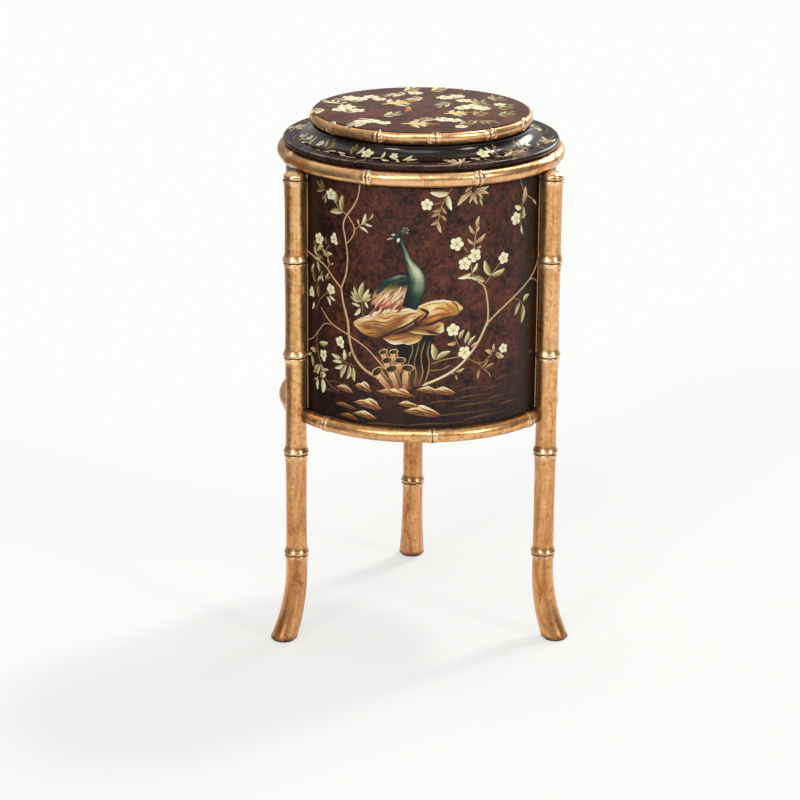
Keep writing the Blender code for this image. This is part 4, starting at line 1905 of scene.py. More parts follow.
class PanelPicture(Brush):
    """The picture on one panel of the drum: blossom branches, and a crested bird on rocks at the front."""

    edge = 160.2
    foot = 18.0
    top = 302.0

    def draw(self, front: bool) -> None:
        """Paints the panel.

        Args:
            front: Whether the bird stands in its middle, and not a bush.
        """
        self.seams()
        self.ground_strip()
        self.left_branch()
        self.left_sprays()
        self.right_branch()
        self.right_sprays()
        self.top_sprays()
        if front:
            self.rocks()
            self.fan_plant()
            self.bird()
        else:
            self.middle_bush()

    def seams(self) -> None:
        """Gilt lines beside the two legs of a panel, pale and raised, that also stand as a painted highlight
        at each leg's edge.
        """
        for side in (-1, 1):
            edge = side * self.edge
            path = [(edge, self.foot + step * (self.top - self.foot) / 8) for step in range(9)]
            self.stroke(path, (0.7, 0.85, 0.6, 0.8, 0.65, 0.9, 0.65), SEAM_GILT_AND_HIGHLIGHT, 0.5, 60)

    def ground_strip(self) -> None:
        """Mounds and ripples along the foot of a panel."""
        for x, y, half, rise in (
            (62, 50, 26, 3), (88, 58, 16, 2), (70, 41, 36, 2), (50, 31, 38, 2), (96, 46, 20, 2),
            (104, 67, 16, 4), (58, 60, 18, 3), (80, 25, 32, 2), (-118, 48, 14, 2), (-104, 14, 22, 2),
            (20, 20, 40, 2), (-40, 18, 30, 2), (-20, 66, 30, 3), (30, 46, 30, 3), (-108, 60, 16, 2),
            (112, 36, 18, 2),
        ):
            path = [(x + half * px, y + rise * py) for px, py in ((-1, 0), (-0.4, 1), (0.3, 0.8), (1, 0.2))]
            self.stroke(path, (0.15, 1.5, 1.2, 0.15), RIPPLE, 0.1, 10)
            crest = [(px + 2, py + 0.9) for px, py in path]
            self.stroke(crest, (0.1, 0.3, 0.2, 0.1), Tint(UMBER, MOSS, OLIVE, MOSS), 0.06, 10, 0.1)
        for x, y, half, rise in (
            (-98, 57, 13, 9), (-73, 63, 12, 12), (-34, 60, 24, 11), (4, 64, 14, 9), (22, 62, 16, 10),
            (-96, 36, 16, 6), (-67, 43, 19, 13), (-92, 24, 14, 6), (-71, 29, 16, 9), (-18, 46, 13, 8),
            (-2, 38, 23, 14), (-44, 74, 12, 7),
        ):
            self.pebble(x, y, half, rise)

    def pebble(self, x: float, y: float, half: float, rise: float) -> None:
        """One rock of the shore, given by its middle, its half length and its height.

        Args:
            x: Its middle.
            y: Its middle.
            half: Its half length.
            rise: Its height.
        """
        def line(*points: Point2) -> list[Point2]:
            """Points given in the rock's own size."""
            return [(x + px * half, y + py * rise) for px, py in points]

        peak = (-0.25, -0.05, 0.15)[int(x) % 3]
        upper = line(
            (-1, -0.05), (peak - 0.4, 0.3), (peak, 0.54), (peak + 0.4, 0.3), (0.72, -0.08), (1, -0.42)
        )
        lower = line((-1, -0.05), (-0.6, -0.36), (0.0, -0.44), (0.55, -0.56), (1, -0.42))
        bright = half > 11 and rise > 7
        top, face = (SAND, GOLD) if bright else (OCHRE, UMBER)
        self.wash(
            upper,
            lower,
            (
                (UMBER, top, CREAM if bright else GOLD, top, UMBER), (UMBER, face, top, face, UMBER),
                (INK, UMBER, face, RUST, INK), (INK, INK, UMBER, UMBER, INK),
            ),
        )
        fold = Tint(UMBER, INK, RUST, RUST)
        for path, share in (
            (((-0.84, -0.06), (-0.4, 0.08), (0.1, -0.12), (0.8, -0.44)), 0.09),
            (((peak - 0.1, 0.46), (peak + 0.1, 0.16), (peak + 0.4, -0.02), (0.86, -0.32)), 0.09),
            (((-0.6, -0.22), (-0.2, -0.16), (0.2, -0.34)), 0.1),
        ):
            self.stroke(line(*path), (0.1, share * rise, share * rise, 0.1), fold, 0.06, 8, 0.13)
        glint = Tint(top, face, CREAM if bright else top, face)
        for path in (
            ((-0.7, 0.08), (-0.3, 0.2), (0.1, 0.04)), ((peak, 0.48), (peak + 0.3, 0.22), (0.7, -0.16))
        ):
            self.stroke(line(*path), (0.1, 0.08 * rise, 0.05 * rise, 0.1), glint, 0.06, 8, 0.14)

    def left_branch(self) -> None:
        """The forked branch on the left of a panel."""
        self.limb(
            (
                (-78, 304), (-80, 290), (-86, 277), (-95, 265), (-100, 253), (-97, 236), (-94, 216),
                (-96, 196), (-103, 177),
            ),
            0.8, 1.2,
        )
        self.limb(((-93, 264), (-86, 254), (-85, 246), (-90, 237), (-96, 231)), 0.7, 0.7)
        self.limb(((-166, 212), (-148, 207), (-128, 200), (-115, 188), (-103, 177)), 0.9, 1.3)
        self.limb(((-134, 148), (-117, 132), (-94, 123), (-68, 109), (-46, 87)), 0.6, 1.1)
        self.limb(
            ((-103, 178), (-100, 160), (-94, 140), (-91, 116), (-84, 97), (-72, 84), (-58, 77)), 1.3, 1.9
        )
        self.limb(((-118, 131), (-129, 129), (-139, 118), (-150, 107), (-163, 102)), 0.6, 0.5)
        self.limb(((-139, 118), (-142, 104), (-139, 90), (-134, 76), (-136, 62)), 0.4, 0.35, VINE)
        self.limb(((-126, 62), (-117, 55), (-106, 52)), 0.35, 0.3, VINE)

    def left_sprays(self) -> None:
        """Leaves and blossoms of the left branch."""
        self.limb(((-119, 284), (-105, 272), (-95, 265)), 0.45, 0.6, VINE)
        self.limb(((-121, 287), (-134, 294)), 0.4, 0.3, VINE)
        self.leaves(
            DIM_LEAF, (-128, 290, 122, 13), (-130, 292, 150, 13), (-128, 290, 200, 14), (-125, 287, 228, 12)
        )
        self.leaves(LEAF, (-110, 277, 98, 14, 0.24), (-101, 270, 88, 18, 0.22), (-100, 268, 188, 19, 0.22))
        self.leaf(-126, 281, 255, 7, WARM_LEAF)
        self.blossom(-118, 286, 8.0, 20)
        self.limb(((-86, 248), (-75, 257), (-64, 265)), 0.45, 0.35)
        self.leaves(
            PALE_LEAF, (-75, 256, 72, 15, 0.16), (-78, 253, -28, 12, 0.15), (-72, 258, -12, 10, 0.15)
        )
        self.leaves(WARM_LEAF, (-78, 255, 105, 8), (-66, 263, 58, 9, 0.15))
        self.limb(((-133, 205), (-128, 216), (-120, 226)), 0.4, 0.35, VINE)
        self.leaves(
            DIM_LEAF, (-141, 215, 118, 13), (-130, 213, 25, 10), (-131, 209, 170, 11), (-124, 226, 105, 9)
        )
        self.blossom(-137, 230, 8.5, 80)
        self.blossom(-113, 234, 9.0, 15, 0.5, 12)
        self.limb(((-122, 198), (-119, 206)), 0.5, 0.4)
        self.leaves(WARM_LEAF, (-121, 203, 100, 7), (-119, 202, 35, 6))
        self.limb(((-143, 143), (-136, 157), (-126, 166), (-118, 173)), 0.45, 0.4, VINE)
        self.limb(((-146, 168), (-138, 180), (-132, 190)), 0.4, 0.3, VINE)
        self.leaves(
            DIM_LEAF, (-143, 176, 110, 14), (-136, 181, 70, 13), (-137, 160, 96, 15), (-127, 184, 20, 9)
        )
        self.leaves(
            PALE_LEAF, (-124, 163, -62, 11), (-120, 165, -28, 10), (-147, 152, 252, 10), (-130, 180, 128, 7)
        )
        self.blossom(-118, 173, 8.0, 40, 0.85, 30)
        self.blossom(-151, 163, 8.0, 90, 0.6, 0)
        self.limb(((-83, 86), (-97, 89), (-108, 96)), 0.45, 0.35, VINE)
        self.leaves(
            PALE_LEAF, (-98, 91, 92, 13, 0.24), (-104, 93, 168, 13), (-101, 88, 186, 14), (-99, 85, 205, 14)
        )
        self.leaves(LEAF, (-96, 86, 248, 19), (-91, 85, 258, 17), (-86, 84, 276, 17), (-91, 96, 70, 8))
        self.blossom(-104, 112, 9.0, 10, 0.7, 25)
        self.blossom(-130, 91, 9.0, 60, 0.6, 0)
        self.leaves(
            LEAF, (-137, 104, 12, 15, 0.24), (-134, 78, -72, 14, 0.12), (-141, 68, 190, 8),
            (-140, 62, 215, 8),
        )
        self.leaves(WARM_LEAF, (-143, 92, 170, 11, 0.28), (-136, 66, 25, 7))
        self.leaves(
            LEAF, (-147, 219, 300, 12), (-140, 214, 40, 14, 0.22), (-132, 219, -40, 13, 0.2),
            (-127, 212, 15, 12, 0.24),
        )
        self.leaves(
            LEAF, (-134, 208, 200, 12), (-150, 186, 72, 13), (-136, 190, 112, 14), (-140, 178, 40, 13),
            (-127, 184, 55, 10),
        )
        self.leaves(
            LEAF, (-152, 89, 200, 11), (-148, 72, 106, 15), (-145, 66, 62, 13), (-136, 78, 250, 14),
            (-131, 71, 18, 10),
        )
        self.leaves(PALE_LEAF, (-140, 59, 268, 13), (-132, 61, 272, 17, 0.26), (-133, 63, 40, 9, 0.28))

    def fan_plant(self) -> None:
        """A low plant with leaves like a fan, beside the ledge."""
        self.limb(((-73, 146), (-74, 157), (-75, 168)), 0.5, 0.5, VINE)
        for angle, length in ((166, 15), (18, 13), (144, 17), (38, 15), (122, 19), (60, 18), (84, 23)):
            self.leaf(-75, 166, angle, length, LEAF if length % 2 else PALE_LEAF, 0.17, 0.1)
        self.leaves(PALE_LEAF, (-77, 159, 168, 11, 0.2), (-77, 157, 232, 12, 0.22), (-71, 166, -62, 9, 0.2))

    def right_branch(self) -> None:
        """The rising branch on the right of a panel, which forks in two."""
        self.limb(
            ((76, 139), (92, 151), (112, 163), (130, 173), (146, 183), (156, 194), (163, 208)), 1.3, 0.8
        )
        self.limb(((76, 136), (77, 152), (75, 170), (71, 184), (62, 191)), 1.4, 0.9)
        self.limb(((-2, 69), (22, 79), (40, 90), (54, 104), (66, 120), (76, 140)), 1.5, 1.6, PALE_BARK)
        self.limb(((136, 177), (148, 180), (157, 174), (162, 169)), 0.45, 0.4)
        self.limb(((112, 162), (122, 160), (129, 152), (130, 143)), 0.5, 0.35, VINE)
        self.limb(((8, 95), (24, 100), (40, 102)), 0.5, 0.6, VINE)
        self.limb(((4, 87), (20, 88), (30, 93)), 0.5, 0.4, VINE)
        self.limb(((50, 101), (60, 94), (70, 92), (79, 98), (85, 107)), 0.6, 0.4, VINE)
        self.limb(((62, 94), (70, 86), (78, 79)), 0.45, 0.35, VINE)

    def right_sprays(self) -> None:
        """Leaves and blossoms of the right branch."""
        self.limb(((72, 186), (80, 196), (94, 211)), 0.6, 0.4, VINE)
        self.limb(((63, 190), (56, 200), (53, 212)), 0.6, 0.4, VINE)
        self.leaves(LEAF, (72, 190, 162, 20, 0.2), (80, 196, 116, 21, 0.2), (81, 195, 18, 19, 0.2))
        self.leaves(PALE_LEAF, (54, 201, 196, 17, 0.16), (56, 202, 62, 12, 0.18), (57, 196, 172, 10, 0.15))
        self.limb(((57, 222), (58, 240), (61, 258)), 0.5, 0.4)
        self.leaves(WARM_LEAF, (58, 235, 142, 12, 0.14), (58, 236, 38, 17, 0.14), (58, 247, 124, 13, 0.14))
        self.leaves(WARM_LEAF, (59, 248, 62, 9, 0.14), (61, 254, 82, 14, 0.16), (60, 230, 20, 7))
        self.leaves(DIM_LEAF, (54, 226, 208, 13), (50, 226, 130, 9))
        for x, y, radius, turn in (
            (46, 213, 9, 10), (58, 222, 9.5, 40), (36, 237, 9.5, 65), (97, 214, 8.5, 100)
        ):
            self.blossom(x, y, radius, turn)
        self.leaves(LEAF, (131, 156, 32, 12, 0.28), (124, 157, 245, 17, 0.2), (129, 152, 266, 22, 0.19))
        self.limb(((44, 108), (38, 120), (34, 132)), 0.4, 0.4, VINE)
        self.leaves(WARM_LEAF, (41, 124, 62, 12, 0.2), (55, 113, 28, 12, 0.22), (37, 120, 190, 11, 0.2))
        self.leaves(LEAF, (48, 118, 74, 15, 0.22), (52, 115, 50, 14, 0.16))
        self.blossom(33, 135, 9.0, 20)
        self.blossom(47, 107, 9.0, 55)
        self.leaves(LEAF, (12, 100, 100, 20, 0.22), (14, 100, 30, 19, 0.19))
        self.leaves(WARM_LEAF, (83, 101, 150, 11, 0.22), (86, 103, 94, 10, 0.18), (88, 101, -28, 14, 0.24))
        self.blossom(99, 105, 7.5, 30, 0.85, 60)
        self.leaves(
            VINE, (70, 86, 48, 12, 0.12), (74, 84, 22, 13, 0.12), (66, 84, 262, 11, 0.2),
            (77, 80, 300, 8, 0.14),
        )
        self.leaves(WARM_LEAF, (37, 84, 22, 11, 0.15), (35, 83, 160, 6, 0.2), (37, 81, 285, 7, 0.16))

    def top_sprays(self) -> None:
        """Sprays that hang down from under the lid."""
        self.limb(((30, 304), (22, 291), (16, 277), (14, 262)), 0.75, 0.4, VINE)
        self.limb(((20, 287), (8, 284)), 0.45, 0.4, VINE)
        self.leaves(PALE_LEAF, (26, 297, 176, 22, 0.17), (25, 294, 284, 18, 0.2))
        self.leaves(
            VINE, (17, 279, 196, 10), (16, 274, 205, 11), (15, 267, 215, 12), (18, 281, 305, 10),
            (16, 271, 318, 10),
        )
        self.leaf(14, 264, 286, 14, WARM_LEAF, 0.16)
        self.blossom(1, 284, 8.0, 15)
        for x, y, angle, length in (
            (54, 303, 214, 11), (53, 299, 208, 14), (53, 297, 222, 23), (54, 296, 252, 13),
            (56, 296, 286, 15), (57, 297, 318, 13), (58, 299, 8, 17), (60, 296, -12, 15), (63, 291, 288, 12),
        ):
            self.leaf(x, y, angle, length, WARM_LEAF if length % 2 else LEAF, 0.14)
        self.limb(((121, 304), (125, 292), (131, 283), (127, 275), (121, 268)), 0.5, 0.4)
        self.limb(((131, 283), (139, 279), (150, 270)), 0.5, 0.6)
        self.limb(((122, 269), (122, 256), (124, 246)), 0.4, 0.35, VINE)
        self.leaves(WARM_LEAF, (127, 274, 82, 20, 0.19), (144, 275, -42, 11, 0.15))
        self.leaves(LEAF, (127, 270, 278, 15, 0.22), (124, 256, 22, 9), (121, 254, 205, 9))
        self.leaves(PALE_LEAF, (124, 269, 158, 12, 0.28), (124, 249, 282, 12, 0.16))
        self.blossom(115, 258, 9.0, 25)

    def stump(self, mouth: Point2, foot: Point2, half: float) -> None:
        """A hollow stump, given by its mouth, its foot and its half width.

        Args:
            mouth: Middle of its mouth.
            foot: Its foot.
            half: Its half width.
        """
        angle = math.degrees(math.atan2(mouth[1] - foot[1], mouth[0] - foot[0]))
        middle = ((mouth[0] + foot[0]) / 2, (mouth[1] + foot[1]) / 2)
        widths = (0.68 * half, 0.76 * half, 0.88 * half, half)
        self.stroke((foot, middle, mouth), widths, Tint(RUST, SAND, TAN, UMBER), 0.14, 10)
        for side, tint in ((-0.45, Tint(RUST, SAND, GOLD, OCHRE)), (0.3, Tint(INK, OCHRE, RUST, UMBER))):
            shift = away(0, 0, angle - 90, side * half)
            ends = [(px + shift[0], py + shift[1]) for px, py in (foot, middle, mouth)]
            self.stroke(ends, (0.3, 0.16 * half, 0.2 * half, 0.2), tint, 0.06, 8, 0.16)
        self.dab(*mouth, angle - 90, 2.15 * half, 0.58 * half, Tint(OCHRE, SAND, SAND, OCHRE), 0.24)
        self.dab(*mouth, angle - 90, 2.15 * half - 1.8, 0.58 * half - 0.8, Tint(INK, UMBER, INK, INK), 0.34)

    def rocks(self) -> None:
        """A ledge of golden rock over hollow stumps and dark crags."""
        shadow = ((INK, INK, INK), (PINE, INK, UMBER), (INK, INK, INK))
        self.band(((-12, 130), (-11, 98), (-8, 68)), (24, 19, 14, 10), shadow)
        edge = Tint(UMBER, OCHRE, WHEAT, UMBER)
        for index in range(4):
            path = [
                (7 * index - 15 - step + 2 * math.sin(2 * step + index), 123 - 13 * step)
                for step in range(5)
            ]
            self.stroke(path, (0.3, 1.0, 0.6, 0.9, 0.3), edge, 0.08, 14, 0.14)
        for level, length, half, stumps in (
            (94, 15, 5.3, ((-42, 114), (-33, 100))),
            (83, 16, 6.5, ((-38, 110), (-27, 94))),
            (64, 26, 7.2, ((-20, 88), (-29, 110), (-38, 132))),
        ):
            for x, lean in stumps:
                self.stump(away(x, level, lean, length), (x, level), half)
        for path, halves, colours, folds in (
            (
                ((-27, 121), (-15, 123), (-2, 131)), (0.5, 4.5, 5, 0.6),
                ((INK, UMBER, INK), (OCHRE, GOLD, UMBER), (CREAM, SAND, OCHRE)), (),
            ),
            (
                ((-48, 124), (-30, 124), (-9, 131)), (0.8, 6, 6, 0.6),
                ((UMBER, RUST, UMBER, INK), (OCHRE, GOLD, OCHRE, UMBER), (CREAM, CREAM, SAND, RUST)),
                ((((-42, 124), (-32, 124), (-18, 129)), 0.7, RUST, UMBER),),
            ),
            (
                ((-18, 134), (4, 137), (22, 139)), (0.5, 4, 7, 8, 5),
                (
                    (INK, UMBER, RUST, GOLD), (UMBER, UMBER, OCHRE, SAND), (GOLD, OCHRE, UMBER, SAND),
                    (SAND, SAND, GOLD, SAND),
                ),
                (
                    (((-10, 139), (6, 136), (21, 142)), 1.3, UMBER, OCHRE),
                    (((0, 136), (8, 133), (19, 131)), 1.4, INK, UMBER),
                    (((6, 140), (12, 139), (19, 144)), 0.8, RUST, GOLD),
                ),
            ),
            (
                ((-14, 149), (15, 159), (44, 160)), (8, 12, 13, 12, 9, 2),
                (
                    (OCHRE, SAND, SAND, CREAM, SAND, GOLD), (RUST, GOLD, SAND, YELLOW, GOLD, SAND),
                    (UMBER, OCHRE, SAND, GOLD, OCHRE, SAND), (INK, RUST, GOLD, OCHRE, GOLD, OCHRE),
                    (INK, UMBER, RUST, UMBER, UMBER, RUST),
                ),
                (
                    (((-6, 162), (6, 167), (23, 168), (35, 166)), 0.9, OCHRE, SAND),
                    (((-10, 145), (2, 149), (14, 154), (29, 155), (40, 158)), 1.3, RUST, OCHRE),
                    (((-8, 141), (6, 143), (21, 149), (38, 153)), 1.5, INK, UMBER),
                    (((23, 168), (31, 161), (36, 154)), 1.0, RUST, GOLD),
                    (((30, 170), (37, 164), (39, 156)), 1.0, UMBER, OCHRE),
                    (((-9, 163), (3, 157), (-2, 149), (-10, 141)), 1.8, INK, UMBER),
                    (((6, 158), (16, 162), (25, 159), (33, 151)), 1.0, RUST, GOLD),
                    (((12, 170), (22, 171), (31, 169)), 0.7, CREAM, SAND),
                    (((2, 153), (12, 158), (22, 158)), 0.8, SAND, GOLD),
                ),
            ),
            (
                ((-85, 138), (-60, 138), (-28, 149), (6, 158)), (2, 11, 16, 15, 13, 8, 0.8),
                (
                    (SAND, CREAM, CREAM, CREAM, SAND, SAND), (GOLD, SAND, GOLD, SAND, CREAM, GOLD),
                    (SAND, OCHRE, SAND, OCHRE, GOLD, SAND), (GOLD, RUST, OCHRE, RUST, SAND, SAND),
                    (SAND, GOLD, UMBER, OCHRE, SAND, CREAM), (RUST, OCHRE, INK, UMBER, UMBER, RUST),
                ),
                (
                    (((-79, 144), (-62, 149), (-44, 154), (-27, 157), (-9, 160)), 0.9, OCHRE, SAND),
                    (((-78, 138), (-64, 143), (-46, 143), (-31, 149), (-15, 151)), 1.2, RUST, GOLD),
                    (((-74, 132), (-57, 136), (-44, 134), (-31, 140), (-19, 146)), 1.3, UMBER, OCHRE),
                    (((-68, 122), (-53, 124), (-35, 134), (-19, 142), (-2, 155), (3, 158)), 1.5, INK, UMBER),
                    (((-71, 127), (-61, 129), (-50, 128)), 1.0, RUST, OCHRE),
                    (((-56, 151), (-46, 148), (-38, 152), (-28, 153)), 0.9, RUST, GOLD),
                    (((-36, 146), (-26, 150), (-18, 155), (-8, 157)), 1.0, UMBER, OCHRE),
                    (((-62, 140), (-52, 140), (-44, 138)), 0.9, UMBER, OCHRE),
                    (((-72, 147), (-58, 151), (-44, 158)), 0.7, CREAM, CREAM),
                    (((-32, 138), (-18, 146), (-6, 154)), 0.9, SAND, GOLD),
                ),
            ),
        ):
            self.band(path, halves, colours, 0.1, 0.16)
            for line, half, dark, light in folds:
                widths = (0.12, 1.25 * half, 0.9 * half, 0.12)
                self.stroke(line, widths, Tint(dark, dark, light, light), 0.06, 16, 0.36)

    def bird(self) -> None:
        """A crested bird that stands on the ledge and looks back over its wing."""
        self.band(
            ((-62, 163), (-41, 176), (-14, 184)), (1, 12, 19, 20, 18),
            (
                (ROSE, UMBER, PINE, TEAL, SAGE, PINE), (ROSE, TAN, PINE, PINE, PINE, PINE),
                (ROSE, TAN, TAN, OLIVE, PINE, PINE), (ROSE, TAN, SAND, STRAW, TAN, ROSE),
                (UMBER, ROSE, ROSE, SAND, CREAM, ROSE), (UMBER, RUST, ROSE, RUST, ROSE, UMBER),
                (INK, UMBER, RUST, UMBER, RUST, INK),
            ),
            0.3,
        )
        down = (
            Tint(RUST, ROSE, STRAW, RUST), Tint(ROSE, CREAM, STRAW, ROSE), Tint(UMBER, RUST, ROSE, RUST),
            Tint(STRAW, SAND, CREAM, ROSE),
        )
        for index in range(26):
            x = -22 - 5.6 * (index % 7) - 2.0 * (index // 7 % 2)
            y = 187 - 6.5 * (index // 7) - 0.012 * (x + 20) ** 2 + 2.0 * math.sin(2.3 * index)
            angle, length = 232 + 7 * math.sin(1.7 * index), 13 + 2 * math.sin(index)
            self.leaf(x, y, angle, length, down[(3 * index + index // 7) % 4], 0.10, 0.42)
        for index in range(9):
            tint = Tint(PINE, TEAL, OLIVE if index % 2 else TEAL, PINE)
            self.leaf(-16 - 4.4 * index, 199 - 0.27 * index * index, 205 + 3.4 * index, 9, tint, 0.16, 0.45)
        self.band(
            ((-30, 244), (-20, 219), (-9, 194), (-18, 162)), (2.8, 2.8, 4.5, 8, 10, 10, 8.5),
            (
                (PINE, PINE, TEAL, TEAL, PINE, PINE, INK), (TEAL, SAGE, SAGE, CELADON, SAGE, TEAL, PINE),
                (PINE, TEAL, CELADON, CELADON, SAGE, PINE, PINE), (PINE, PINE, TEAL, SAGE, TEAL, PINE, INK),
                (PINE, PINE, PINE, PINE, PINE, INK, INK),
            ),
            0.5, 0.3,
        )
        self.dab(-33, 246, 18, 12, 4.0, Tint(TEAL, PINE, TEAL, PINE), 0.84)
        self.dab(-31, 242, 66, 5.5, 1.7, Tint(CREAM, CREAM, IVORY, SAGE), 0.96)
        self.dab(-37, 248, 20, 5, 1.3, Tint(CELADON, IVORY, SAGE, TEAL), 0.96)
        self.dab(-34.5, 246.5, 0, 2.0, 0.9, Tint(INK, INK, INK, INK), 1.0)
        self.leaf(-37, 244, 196, 8, Tint(ROSE, STRAW, STRAW, UMBER), 0.15, 0.86)
        for angle, length in ((12, 8), (28, 10), (44, 10), (60, 8)):
            tip = away(-29, 249, angle, length)
            plume = ((-29, 249), away(-29, 249, angle + 8, length * 0.55), tip)
            self.stroke(plume, (0.5, 0.9, 0.7, 0.3), Tint(PINE, SAGE, TEAL, PINE), 0.08, 6, 0.3)
            self.dab(*tip, angle, 3.0, 0.8, Tint(TEAL, STRAW, TAN, TEAL), 0.4)

    def middle_bush(self) -> None:
        """A flowering bush in the middle of a side panel."""
        self.limb(((-10, 62), (-16, 96), (-6, 128), (-12, 160), (-4, 192), (-8, 224)), 2.0, 0.8)
        self.limb(((-14, 104), (2, 126), (16, 150)), 1.0, 0.6)
        self.limb(((-9, 140), (-26, 164), (-44, 182)), 1.0, 0.5)
        for x, y, angle in ((-44, 182, 130), (16, 150, 50), (-8, 224, 95), (-30, 100, 150), (-6, 190, 30)):
            self.sprig(((x, y), away(x, y, angle, 12), away(x, y, angle + 18, 28)), 4, 14, LEAF)
        for x, y, turn in (
            (-42, 184, 0), (16, 152, 30), (-6, 226, 50), (-14, 162, 15), (-30, 132, 44), (4, 198, 70)
        ):
            self.blossom(x, y, 10, turn)


class TopPicture(Brush):
    """Blossoms, sprays and three small birds on the top board."""

    def songbird(self, x: float, y: float, angle: float, size: float) -> None:
        """A small yellow bird on the wing.

        Args:
            x: Its middle.
            y: Its middle.
            angle: The way that it flies.
            size: Its length.
        """
        for spread, length in ((172, 0.55), (188, 0.55), (180, 0.62)):
            self.leaf(*away(x, y, angle, -0.1 * size), angle + spread, size * length, BIRD_YELLOW, 0.13)
        self.dab(x, y, angle, 0.62 * size, 0.15 * size, Tint(YELLOW, SAND, SAND, GOLD), 0.4)
        for side in (-1, 1):
            for step in range(3):
                root = away(x, y, angle, (0.14 - 0.1 * step) * size)
                spread, length = side * (112 + 14 * step), size * (0.55 - 0.1 * step)
                self.leaf(*root, angle + spread, length, Tint(GOLD, CREAM, IVORY, OLIVE), 0.2)
        self.dab(
            *away(x, y, angle, 0.36 * size), angle, 0.24 * size, 0.1 * size, Tint(GOLD, RUST, SAND, RUST),
            0.5,
        )
        self.leaf(*away(x, y, angle, 0.45 * size), angle, 0.12 * size, Tint(UMBER, INK, UMBER, INK), 0.25)

    def draw(self) -> None:
        """Paints the board."""
        for x, y, angle in (
            (-104, 4, 20), (-92, -22, 60), (-70, 52, 140), (-58, -58, 200), (-50, -36, 10), (-12, 84, 170),
            (8, 62, 190), (30, 64, 20), (40, 34, 200), (66, 18, 60), (74, 36, 120), (86, 4, 12),
            (60, -60, 300), (22, -60, 150), (36, -88, 20), (-22, 104, 20), (-110, -6, 190), (-96, 26, 100),
            (-84, 40, 60), (-62, -80, 180), (56, -36, 30), (84, -34, 10), (88, 46, 60), (12, 106, 20),
        ):
            self.sprig(
                ((x, y), away(x, y, angle, 9), away(x, y, angle + 24, 22)), 3, 16,
                PALE_LEAF if x < 20 else LEAF, 0.5,
            )
        self.limb(((-112, 20), (-100, 14), (-84, 16), (-66, 8)), 1.0, 0.8)
        self.limb(((60, 16), (78, 12), (92, 22), (108, 26)), 0.8, 0.5)
        for x, y, radius, turn in (
            (-88, 12, 13, 0), (-76, -8, 11, 30), (-72, 58, 12, 50), (-58, 70, 11, 12), (-60, -66, 12, 20),
            (-46, -76, 10, 44), (-4, 92, 11, 8), (31, 66, 13, 35), (60, 14, 15, 10), (72, 4, 12, 60),
            (24, -58, 13, 25), (36, -62, 11, 50), (42, -96, 9, 0), (52, 48, 11, 20), (-98, -4, 10, 60),
            (-84, 66, 10, 5), (-48, 56, 10, 30), (-72, -70, 10, 0), (46, 72, 11, 50), (48, 6, 11, 40),
            (94, 26, 9, 12),
        ):
            self.blossom(x, y, radius, turn)
        for x, y, angle, size in ((-28, 34, 205, 44), (-8, -82, 178, 40), (40, -24, 195, 36)):
            self.songbird(x, y, angle, size)
        self.leaves(BIRD_YELLOW, (-16, 16, 262, 34, 0.1), (-15, 14, 276, 28, 0.1))


class ShoulderPicture(Brush):
    """Sprays on a quarter of the lid's neck and flange."""

    def draw(self, shaded: bool) -> None:
        """Paints the quarter.

        Args:
            shaded: Whether its leaves are of the darker kind.
        """
        for side in (-1, 1):
            for x, y, angle, length in (
                (-88, 6, 62, 14), (-92, 4, 118, 15), (-97, -2, 160, 17), (-84, 0, 195, 12), (-95, 8, 84, 13),
                (-64, 0, 18, 11),
            ):
                pale, dim = (PALE_LEAF, LEAF)[shaded], (LEAF, DIM_LEAF)[shaded or x < -90]
                tint = pale if length % 3 == 2 else dim
                self.leaf(side * x, y, angle if side > 0 else 180 - angle, length, tint, 0.17)
            self.limb(((side * 75, 5), (side * 69, -4), (side * 73, -13), (side * 76, -17)), 0.5, 0.4)
            self.blossom(side * 74, 9, 6.5 if shaded else 9.5, 20, 0.9, 90)
        self.leaves(
            PALE_LEAF, (-54, 3, 80, 12), (-42, -1, 165, 11), (-27, 1, 45, 15), (-22, 0, 20, 13),
            (-30, -2, 140, 11),
        )
        self.blossom(-39, 9, 6.5, 50, 0.85, 90)
        self.limb(((-32, -8), (-19, -6), (-8, -1)), 0.4, 0.35, VINE)
        self.limb(((12, -10), (28, -7), (46, -8)), 0.5, 0.5)
        for angle, length in ((150, 21), (118, 14), (84, 12), (52, 15), (18, 13), (200, 14)):
            self.leaf(38, -8, angle, length, WARM_LEAF if length % 2 else PALE_LEAF, 0.16)
        self.limb(((38, -8), (36, -13), (33, -19)), 0.45, 0.4)
        self.limb(((38, -8), (41, -14), (40, -19)), 0.4, 0.35)
        for angle in (40, 70, 100, 130, 160, 10):
            self.leaf(114, -5, angle, 14 + angle % 4, DIM_LEAF if angle % 4 else WARM_LEAF, 0.13)
        self.limb(((104, -9), (114, -5), (126, -8)), 0.5, 0.4)


@dataclass
class Decoration:
    """The pictures round the drum and on the lid."""

    material: Material = field(default_factory=PaintFinish().material)
    quarters: int = 4

    def build(self) -> None:
        """Paints the three panels, the top and the shoulder of the lid."""
        for side, azimuth in PANEL_AZIMUTHS.items():
            panel = PanelPicture(DrumPanel(azimuth, side == "left"))
            panel.draw(side == "front")
            panel.piece(f"{side}_picture", Body.BASE, self.material)
        top = TopPicture(LidTop())
        top.draw()
        top.piece("top_picture", Body.LID, self.material)
        for index in range(self.quarters):
            odd = bool(index % 2)
            shoulder = ShoulderPicture(LidShoulder(FULL_TURN / self.quarters * index, odd))
            shoulder.draw(odd)
            shoulder.piece(f"shoulder_picture_{index + 1}", Body.LID, self.material)


# Studio


@dataclass(frozen=True)
class Lamp:
    """One far, soft lamp: the way it stands from the table, its strength and its spread in degrees."""

    name: str
    azimuth: float
    elevation: float
    strength: float
    spread: float


